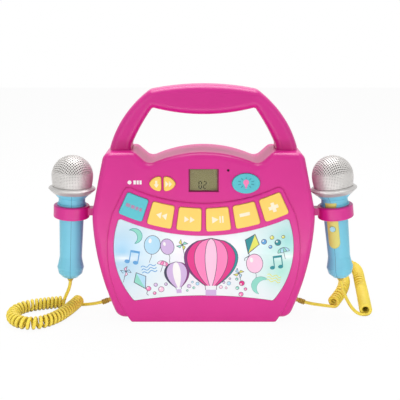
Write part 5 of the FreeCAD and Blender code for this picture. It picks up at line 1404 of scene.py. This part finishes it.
    def party_balloon(self, art: FlatPrint, radius: float, ink: Ink) -> None:
        """Print a balloon on a string.

        Args:
            art: Print set to the middle of the balloon.
            radius: Half its width.
            ink: Ink of the balloon.
        """
        step, sway, bend, width = 1.6, 0.6, 0.9, 0.45
        high_share, string_share = 1.22, 1.25
        shine_shares = (-0.35, 0.5, 0.2, 0.32)
        high = high_share * radius
        self.tail(art, -string_share * radius, step, sway, bend, width)
        art.shape(ellipse(0.0, 0.0, radius + self.outline, high + self.outline), Ink.NAVY)
        art.shape(ellipse(0.0, 0.0, radius, high), ink)
        art.shape(ellipse(*(share * radius for share in shine_shares)), Ink.WHITE)

    def note(self, art: FlatPrint, ink: Ink) -> None:
        """Print a pair of joined notes.

        Args:
            art: Print set to the middle of the notes.
            ink: Ink of the notes.
        """
        heads = (-3.4, 3.4)
        head_z, head_radius, head_share = -4.0, 2.1, 0.75
        stem_aside, stem_z, stem_width, stem_height = 1.7, 0.6, 0.8, 9.0
        beam_z, beam_width, beam_height = 5.0, 7.6, 1.8
        for x in heads:
            art.disc(x, head_z, head_radius, ink, head_share)
            art.shape(bar(x + stem_aside, stem_z, stem_width, stem_height), ink)
        art.shape(bar(stem_aside, beam_z, beam_width, beam_height), ink)

    def waves(self, art: FlatPrint, ink: Ink) -> None:
        """Print three wavy strokes.

        Args:
            art: Print set to the middle of the strokes.
            ink: Ink of the strokes.
        """
        rows, reach = (-1, 0, 1), 7
        spacing, swing, stretch, width = 2.6, 0.9, 0.9, 0.7
        places = [index * stretch for index in range(-reach, reach + 1)]
        for row in rows:
            art.line([(x, spacing * row + swing * math.sin(x)) for x in places], width, ink)

    def kite(self, art: FlatPrint, first: Ink, second: Ink) -> None:
        """Print a kite with a tail.

        Args:
            art: Print set to the crossing of the spars.
            first: Ink of the left half.
            second: Ink of the right half.
        """
        top, low, wide, rim_share = 7.0, -10.0, 6.0, 1.12
        step, sway, bend, width = 1.3, 1.4, 1.0, 0.5
        corners = ((0.0, top), (-wide, 0.0), (0.0, low), (wide, 0.0))
        art.shape([(x * rim_share, z * rim_share) for x, z in corners], Ink.NAVY)
        art.shape(corners[:3], first)
        art.shape((corners[0],) + corners[2:], second)
        self.tail(art, low, step, sway, bend, width)

    def bubbles(self, art: FlatPrint, *inks: Ink) -> None:
        """Print a group of bubbles.

        Args:
            art: Print set to the middle of the group.
            inks: Inks of the bubbles in turn.
        """
        places = ((-6.0, 1.0, 2.2), (0.0, 4.4, 1.7), (4.6, 0.4, 2.5), (-1.0, -3.0, 1.5), (8.6, 5.0, 1.4))
        rim, aside_share, shine_share = 0.35, 0.3, 0.28
        for index, (x, z, radius) in enumerate(places):
            aside = aside_share * radius
            art.disc(x, z, radius, Ink.NAVY)
            art.disc(x, z, radius - rim, inks[index % len(inks)])
            art.disc(x - aside, z + aside, shine_share * radius, Ink.WHITE)


class Side(Enum):
    """The two sides of the machine."""

    LEFT = "left"
    RIGHT = "right"


@dataclass
class Microphone:
    """Perforated head and its foam on one microphone, in millimetres."""

    side: Side
    lean: float
    turn: float
    holder_x: float
    holder_y: float = -4.0
    holder_z: float = 119.0
    head_low: float = 28.2
    base_radius: float = 21.2
    equator: float = 39.6
    radius: float = 22.4
    columns: int = 84
    mesh_step: float = 2.6
    wall_step: float = 1.7
    cap_rows: int = 3
    dome_hole_share: float = 0.62
    wall_hole_share: float = 0.42
    skin: float = 0.9
    foam_gap: float = 1.5
    foam_sides: int = 48
    slant: float = 45.0

    def profile(self, inset: float, step: float) -> list[Flat]:
        """Places up the outside of the head.

        Args:
            inset: Distance inside the outer skin.
            step: Distance between places.

        Returns:
            Radius and height of each place.
        """
        places = []
        rise = self.equator - self.head_low
        side_count = max(2, round(rise / step))
        for index in range(side_count):
            share = index / side_count
            swell = self.base_radius + (self.radius - self.base_radius) * math.sin(share * math.pi / 2)
            places.append((swell - inset, self.head_low + rise * share))
        reach = self.radius - inset
        count = math.floor(self.radius * math.pi / 2 / step)
        for index in range(count):
            turn = step / self.radius * index
            places.append((reach * math.cos(turn), self.equator + reach * math.sin(turn)))
        return places

    def seat(self) -> Matrix:
        """Place and turn of the microphone in the frame.

        Returns:
            Matrix in metres.
        """
        spin = Matrix.Rotation(math.radians(self.turn), 4, "Z")
        tip = Matrix.Rotation(math.radians(self.lean), 4, "Y")
        move = Matrix.Translation(Vector((self.holder_x, self.holder_y, self.holder_z)) * MM)
        return move @ tip @ spin

    def shell(self) -> SeamFinish:
        """Finish of the two halves of the handle."""
        return SeamFinish(f"{self.side.value}_{SKY.name}", SKY.colour, SKY.roughness, seat=self.seat())

    def build(self, tree: Tree) -> None:
        """Make the perforated skin and the foam behind it.

        Args:
            tree: Tree that perforates a skin.
        """
        name = self.side.value
        seat = self.seat() @ Matrix.Scale(MM, 4)
        skins = (
            (f"{name}_mic_dome", self.dome(), self.dome_hole_share),
            (f"{name}_mic_grille", self.wall(), self.wall_hole_share),
        )
        for label, mesh, hole in skins:
            mesh.transform(seat)
            values = {"Hole_Share": hole, "Wall": self.skin * MM, "Finish": SILVER.material()}
            skin = finished_piece(label, mesh, [SILVER], f"{name}_mic", tree, **values)
            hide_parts(f"{name}_mic_head")
        foam = turned_mesh(self.profile(self.foam_gap, self.mesh_step), self.foam_sides)
        foam.transform(seat)
        piece = smooth(finished_piece(f"{name}_mic_foam", foam, [FOAM], f"{name}_mic"))

    def wall(self) -> Mesh:
        """Lay small quads round the head below its coarse cap.

        Returns:
            Open skin in millimetres, before it is perforated.
        """
        top = self.equator + self.radius * math.sin(self.cap_edge())
        rows = [row for row in self.profile(0.0, self.wall_step) if row[1] <= top]
        return turned_mesh(rows, self.columns, closed=False)

    def cap_edge(self) -> float:
        """Angle above the equator where the coarse cap begins, a whole number of wall steps up."""
        return self.cap_rows * self.wall_step / self.radius

    def dome(self) -> Mesh:
        """Bend a flat slanted mesh of squares over the half ball.

        Returns:
            Open skin in millimetres, before it is perforated.
        """
        mesh = bmesh.new()
        limit = self.radius * (math.pi / 2 - self.cap_edge())
        reach = math.ceil(limit * math.sqrt(2) / self.mesh_step)
        spin = Matrix.Rotation(math.radians(self.slant), 2)
        corners = {}
        lengths = {}
        for row in range(-reach, reach + 1):
            for column in range(-reach, reach + 1):
                flat = spin @ Vector((row, column)) * self.mesh_step
                turn = min(flat.length, limit) / self.radius
                side = flat.normalized() * self.radius * math.sin(turn)
                corners[row, column] = (side.x, side.y, self.equator + self.radius * math.cos(turn))
                lengths[row, column] = flat.length
        verts = {}
        for row in range(-reach, reach):
            for column in range(-reach, reach):
                around = ((row, column), (row + 1, column), (row + 1, column + 1), (row, column + 1))
                if min(lengths[key] for key in around) < limit:
                    for key in around:
                        if key not in verts:
                            verts[key] = mesh.verts.new(corners[key])
                    mesh.faces.new([verts[key] for key in around])
        return mesh


MICROPHONES = {
    Side.LEFT: Microphone(Side.LEFT, lean=3.5, turn=188.0, holder_x=-145.4),
    Side.RIGHT: Microphone(Side.RIGHT, lean=-7.0, turn=-29.0, holder_x=145.4),
}


@dataclass
class CurlyCord:
    """Lead, coil and microphone lead of one cord, in millimetres."""

    side: Side
    axis: tuple[Flat, ...]
    turns: float
    gland: Place
    gland_way: Place
    mic_gland: Place
    mic_way: Place
    lead_run: float
    coil_run: float
    end_run: float
    mic_run: float
    wire: float = 1.9
    coil: float = 5.3
    axis_z: float = 7.3
    tail: float = 3.8
    closing_share: float = 0.0
    closing_power: int = 3
    loosening_share: float = 0.0
    loose_shares: tuple[float, ...] = ()
    loose_width_share: float = 0.045
    per_turn: int = 22
    floor_gap: float = 0.1
    sides: int = 10
    axis_step: float = 1.0
    overlap: float = 0.5
    sharp_angle: float = 60.0

    def build(self) -> None:
        """Make the wound cord and the lead that follows the microphone."""
        name = self.side.value
        helix = self.helix()
        first_way = (helix[1] - helix[0]).normalized()
        last_way = (helix[-1] - helix[-2]).normalized()
        start = helix[0] - first_way * self.tail
        end = self.above_floor(helix[-1] + last_way * self.tail)
        out = Vector(self.gland)
        lead = spline_points([
            out,
            out + Vector(self.gland_way) * self.lead_run,
            self.above_floor(start - first_way * self.coil_run),
            helix[0],
        ])
        wound = lead[:-1] + helix + [end]
        cord = self.tube(f"{name}_cord", wound, len(lead))
        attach(cord, CASE_BODY)
        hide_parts(f"{name}_case_lead", f"{name}_curly_cord")
        inlet = Vector(self.mic_gland)
        route = spline_points([
            end - last_way * self.overlap,
            self.above_floor(end + last_way * self.end_run),
            inlet + Vector(self.mic_way) * self.mic_run,
            inlet,
        ])
        lift = self.tube(f"{name}_cord_to_mic", route, len(route))
        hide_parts(f"{name}_mic_lead")
        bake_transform(lift)

    def above_floor(self, place: Vector) -> Vector:
        """Raise a place of the middle line until the wire lies on the floor."""
        return Vector((place.x, place.y, max(place.z, self.wire + self.floor_gap)))

    def tube(self, name: str, path: Sequence[Vector], straight: int) -> Item:
        """Make the cord's tube.

        Args:
            name: Name of the piece.
            path: Places along the middle line.
            straight: Number of places in the lead, before the first turn.

        Returns:
            The new object, which rides on nothing yet.
        """
        mesh = tube_mesh([point * MM for point in path], self.wire * MM, self.sides)
        bmesh.ops.recalc_face_normals(mesh, faces=mesh.faces)
        mesh.faces.ensure_lookup_table()
        for face in mesh.faces[:straight * self.sides]:
            face.material_index = 1
        return smooth(mesh_object(name, mesh, [SHEATH, LEAD]), self.sharp_angle)

    def helix(self) -> list[Vector]:
        """Wind the wire round the coil's middle line, slower in its bends and closer at its end.

        Returns:
            Places along the wire.
        """
        axis = spline_points([Vector((x, y, self.axis_z)) for x, y in self.axis])
        line = even_points(axis, self.axis_step)
        last = len(line) - 1
        ways = [(line[min(i + 1, last)] - line[max(i - 1, 0)]).normalized() for i in range(last + 1)]
        wound = [0.0]
        for index in range(last):
            bend = ways[index].angle(ways[index + 1], 0.0)
            wound.append(wound[-1] + (line[index + 1] - line[index]).length - self.coil * bend)
        count = round(self.turns * self.per_turn)
        marks = list(accumulate((self.gap(index / count) for index in range(count)), initial=0.0))
        goals = [wound[-1] * mark / marks[-1] for mark in marks]
        places = []
        for index, (step, inside) in enumerate(found(wound, goals)):
            middle = line[step].lerp(line[step + 1], inside)
            way = ways[step].lerp(ways[step + 1], inside).normalized()
            beside = way.cross(Vector((0.0, 0.0, 1.0)))
            turn = 2 * math.pi * self.turns * index / count - math.pi / 2
            up = Vector((0.0, 0.0, math.sin(turn)))
            places.append(middle + (beside * math.cos(turn) + up) * self.coil)
        return places

    def gap(self, share: float) -> float:
        """Distance between turns against the usual one, less towards the end and more in loose places.

        Args:
            share: Place along the coil from 0 to 1.

        Returns:
            Distance as a share of the usual one.
        """
        result = 1 - self.closing_share * share**self.closing_power
        for middle in self.loose_shares:
            aside = (share - middle) / self.loose_width_share
            result += self.loosening_share * math.exp(-aside * aside)
        return result


ROUTE_ORDER = 3
ROUTE_STEPS = 24


def spline_points(corners: Sequence[Vector]) -> list[Vector]:
    """Places along the smooth spline of a route.

    Args:
        corners: Control points of the route.

    Returns:
        Places read from the spline.
    """
    data = bpy.data.curves.new("route", "CURVE")
    data.dimensions = "3D"
    spline = data.splines.new("NURBS")
    spline.points.add(len(corners) - 1)
    for point, corner in zip(spline.points, corners):
        point.co = (corner.x, corner.y, corner.z, 1.0)
    spline.order_u = ROUTE_ORDER
    spline.use_endpoint_u = True
    spline.resolution_u = ROUTE_STEPS
    holder = bpy.data.objects.new("route", data)
    mesh = bpy.data.meshes.new_from_object(holder)
    places = [vertex.co.copy() for vertex in mesh.vertices]
    bpy.data.objects.remove(holder)
    bpy.data.meshes.remove(mesh)
    bpy.data.curves.remove(data)
    return places


def found(marks: Sequence[float], goals: Iterable[float]) -> list[tuple[int, float]]:
    """Find rising goals among rising marks.

    Args:
        marks: Marks along a line.
        goals: Wanted places along it.

    Returns:
        For each goal the mark before it, and the share of the way to the next mark.
    """
    result = []
    index = 0
    for goal in goals:
        while index < len(marks) - 2 and marks[index + 1] < goal:
            index += 1
        span = marks[index + 1] - marks[index]
        result.append((index, (goal - marks[index]) / span if span else 0.0))
    return result


def even_points(places: Sequence[Vector], step: float) -> list[Vector]:
    """Set places along a line at even distances.

    Args:
        places: Places along the line.
        step: Wanted distance.

    Returns:
        Places at even distances from end to end.
    """
    spans = [(second - first).length for first, second in zip(places, places[1:])]
    marks = list(accumulate(spans, initial=0.0))
    count = max(2, round(marks[-1] / step))
    goals = [marks[-1] * number / count for number in range(count + 1)]
    return [places[index].lerp(places[index + 1], share) for index, share in found(marks, goals)]


@dataclass
class GlandRibs:
    """Ribs of the cord sleeves in front of the case glands, in millimetres."""

    count: int = 4
    pitch: float = 1.9
    width: float = 1.3
    rounding: float = 0.3
    inner: float = 1.7
    outer: float = 3.1
    sides: int = 20
    merge: float = 0.01

    def build(self, cord: CurlyCord, tree: Tree) -> None:
        """Set the ribs of one sleeve along the way out of its gland.

        Args:
            cord: Cord that leaves the gland.
            tree: Tree that sets copies on points.
        """
        half = self.width / 2
        edge = self.outer - self.rounding
        profile = (
            (self.inner, -half), (edge, -half), (self.outer, self.rounding - half),
            (self.outer, half - self.rounding), (edge, half), (self.inner, half), (self.inner, -half),
        )
        way = Vector(cord.gland_way)
        rib = turned_mesh(profile, self.sides)
        rib.transform(Matrix.Scale(MM, 4) @ way.to_track_quat("Z", "Y").to_matrix().to_4x4())
        bmesh.ops.remove_doubles(rib, verts=rib.verts, dist=self.merge * MM)
        bmesh.ops.recalc_face_normals(rib, faces=rib.faces)
        shape = mesh_object("rib", rib)
        places = [Vector(cord.gland) + way * (half + self.pitch * index) for index in range(self.count)]
        name = f"{cord.side.value}_case_gland_ribs"
        piece = set_on_points(name, shape, places, GLAND, CASE_BODY, tree)
        smooth(piece)
        bpy.data.objects.remove(shape)


@dataclass
class ScrewSlots:
    """Cross recesses in the screw heads of the rear, in millimetres."""

    places: tuple[Flat, ...] = ((86.0, 158.0), (108.8, 100.0), (86.0, 15.5))
    seat_back: float = 14.0
    door_place: Place = (0.0, 33.0, 84.0)
    arm: float = 1.7
    width: float = 0.55
    proud: float = 0.04
    sunk: float = 0.2

    def cross(self) -> Item:
        """Make one cross as a scratch shape.

        Returns:
            Object that is removed after use.
        """
        mesh = bmesh.new()
        corners = cross_outline(self.width * MM / 2, self.arm * MM)
        plate(mesh, corners, self.proud * MM, -self.sunk * MM)
        bmesh.ops.recalc_face_normals(mesh, faces=mesh.faces)
        return mesh_object("cross", mesh)

    def build(self, tree: Tree) -> None:
        """Set a cross on every head that shows.

        Args:
            tree: Tree that sets copies on points.
        """
        shape = self.cross()
        heads = [Vector((side * x, self.seat_back, z)) for x, z in self.places for side in (-1, 1)]
        sets = (
            ("case_screw_slots", heads, CASE_BODY),
            ("door_screw_slot", [Vector(self.door_place)], "battery_door"),
        )
        for name, places, body in sets:
            set_on_points(name, shape, places, BLACK, body, tree)
        bpy.data.objects.remove(shape)


@dataclass(frozen=True)
class Lamp:
    """A soft lamp, in metres and watts."""

    name: str
    place: Place
    size: Flat
    power: float


@dataclass
class Studio:
    """Floor, light and camera of the picture, in metres."""

    camera_place: Place = (-0.0039, -0.768, 0.318)
    aim: Place = (-0.0039, 0.0, 0.1300)
    lens: float = 64.4
    sensor: float = 36.0
    near_limit: float = 0.01
    floor_half: float = 3.0
    floor_roughness: float = 0.9
    white: float = 0.94
    lift_share: float = 0.95
    sky_share: float = 0.47
    lamp_aim: Place = (0.0, 0.0, 0.12)
    lamps: tuple[Lamp, ...] = (
        Lamp("key_light", (-0.7, -1.1, 0.5), (0.9, 0.9), 2.0),
        Lamp("fill_light", (0.9, -1.0, 0.35), (0.9, 0.9), 1.65),
        Lamp("top_light", (0.0, 0.3, 1.4), (1.0, 1.0), 16.0),
        Lamp("low_light", (0.0, -0.27, 0.012), (0.6, 0.02), 0.25),
    )

    def build(self) -> None:
        """Make the whole studio."""
        self.floor()
        self.world()
        for lamp in self.lamps:
            self.hang(lamp)
        self.camera()

    def floor(self) -> None:
        """Lay the pale floor, which stays white to the camera but keeps a soft shadow."""
        mesh = bmesh.new()
        corners = bar(0.0, 0.0, 2 * self.floor_half, 2 * self.floor_half)
        mesh.faces.new([mesh.verts.new((x, y, 0.0)) for x, y in corners])
        plane = mesh_object("floor", mesh)
        shade = Shade("floor_white")
        shade.surface.inputs["Base Color"].default_value = (self.white, self.white, self.white, 1.0)
        shade.surface.inputs["Roughness"].default_value = self.floor_roughness
        shade.surface.inputs["Specular IOR Level"].default_value = 0.0
        glow = shade.add("ShaderNodeEmission", Strength=1.0)
        seen = math_node(shade.tree, "MULTIPLY", self.seen(shade.tree), self.lift_share)
        mix = shade.add("ShaderNodeMixShader")
        result = feed(shade.tree, mix, (seen, shade.surface.outputs[0], glow.outputs[0]))
        shade.tree.links.new(result, shade.tree.nodes["Material Output"].inputs["Surface"])
        plane.data.materials.append(shade.material)

    def seen(self, tree: Tree) -> Socket:
        """Mask of rays that come from the camera, a mirror or glass.

        Args:
            tree: Tree that gets the nodes.

        Returns:
            Socket that is 1 for such rays.
        """
        path = tree.nodes.new("ShaderNodeLightPath")
        first = math_node(tree, "MAXIMUM", path.outputs["Is Camera Ray"], path.outputs["Is Glossy Ray"])
        return math_node(tree, "MAXIMUM", first, path.outputs["Is Transmission Ray"])

    def world(self) -> None:
        """Light the surroundings evenly and show them white."""
        world = bpy.data.worlds.new("studio")
        bpy.context.scene.world = world
        world.use_nodes = True
        tree = world.node_tree
        ground = tree.nodes["Background"]
        ground.inputs["Color"].default_value = (1.0, 1.0, 1.0, 1.0)
        level = math_node(tree, "MULTIPLY", self.seen(tree), 1.0 - self.sky_share)
        tree.links.new(math_node(tree, "ADD", level, self.sky_share), ground.inputs["Strength"])
        bpy.context.scene.view_settings.view_transform = "Standard"

    def look(self, item: Item, place: Sequence[float], target: Sequence[float]) -> None:
        """Set a lamp or camera so that it looks at a place.

        Args:
            item: Lamp or camera.
            place: Where it stands.
            target: Where it looks.
        """
        item.location = place
        way = Vector(target) - Vector(place)
        item.rotation_euler = way.to_track_quat("-Z", "Y").to_euler()

    def hang(self, lamp: Lamp) -> None:
        """Hang a lamp that looks at the machine and is not seen itself.

        Args:
            lamp: Its place, size and power.
        """
        data = bpy.data.lights.new(lamp.name, "AREA")
        data.shape = "RECTANGLE"
        data.size, data.size_y = lamp.size
        data.energy = lamp.power
        item = scene_object(lamp.name, data)
        item.visible_camera = False
        self.look(item, lamp.place, self.lamp_aim)

    def camera(self) -> None:
        """Set the camera at the angle of the photograph."""
        data = bpy.data.cameras.new("camera")
        data.lens = self.lens
        data.sensor_width = self.sensor
        data.clip_start = self.near_limit
        camera = scene_object("camera", data)
        self.look(camera, self.camera_place, self.aim)
        bpy.context.scene.camera = camera


def cords() -> Iterable[CurlyCord]:
    """Give both cords with their routes, in millimetres.

    Returns:
        The left cord and the right cord.
    """
    left = CurlyCord(
        Side.LEFT,
        axis=(
            (-144.6, 11.7), (-151.8, -21.0), (-169.0, -50.0), (-190.0, -56.5), (-208.0, -43.0),
            (-212.5, -22.0), (-202.0, -6.5), (-183.0, 1.5), (-162.0, 7.2),
        ),
        turns=38.25,
        gland=(-108.47, -4.0, 13.78),
        gland_way=(-0.934, 0.0, -0.358),
        mic_gland=(-150.41, -4.0, 37.15),
        mic_way=(-0.061, 0.0, -0.998),
        lead_run=9.0,
        coil_run=6.0,
        end_run=4.0,
        mic_run=7.0,
        tail=1.2,
    )
    right = CurlyCord(
        Side.RIGHT,
        axis=(
            (149.9, 5.6), (161.5, 29.0), (171.5, 56.0), (178.0, 82.0), (176.0, 112.0), (174.5, 132.5),
            (186.5, 143.0), (199.5, 132.5), (201.0, 112.0), (196.0, 80.0), (189.5, 32.0), (182.0, -17.7),
        ),
        turns=60.0,
        gland=(108.47, -4.0, 13.78),
        gland_way=(0.934, 0.0, -0.358),
        mic_gland=(155.39, -4.0, 37.61),
        mic_way=(0.122, 0.0, -0.993),
        lead_run=10.0,
        coil_run=9.0,
        end_run=8.0,
        mic_run=12.0,
        closing_share=0.2,
        loosening_share=1.2,
        loose_shares=(0.07, 0.66),
    )
    return left, right


def main() -> None:
    """Build the pieces in order."""
    logging.basicConfig(level=logging.INFO)
    Solids().dress()
    scatter = scatter_tree()
    for cord in cords():
        cord.build()
        GlandRibs().build(cord, scatter)
    KeySigns().build()
    DisplayFace().build()
    PanelArt().build()
    perforate = perforated_tree()
    for microphone in MICROPHONES.values():
        microphone.build(perforate)
    ScrewSlots().build(scatter)
    Studio().build()


if __name__ == "__main__":
    main()
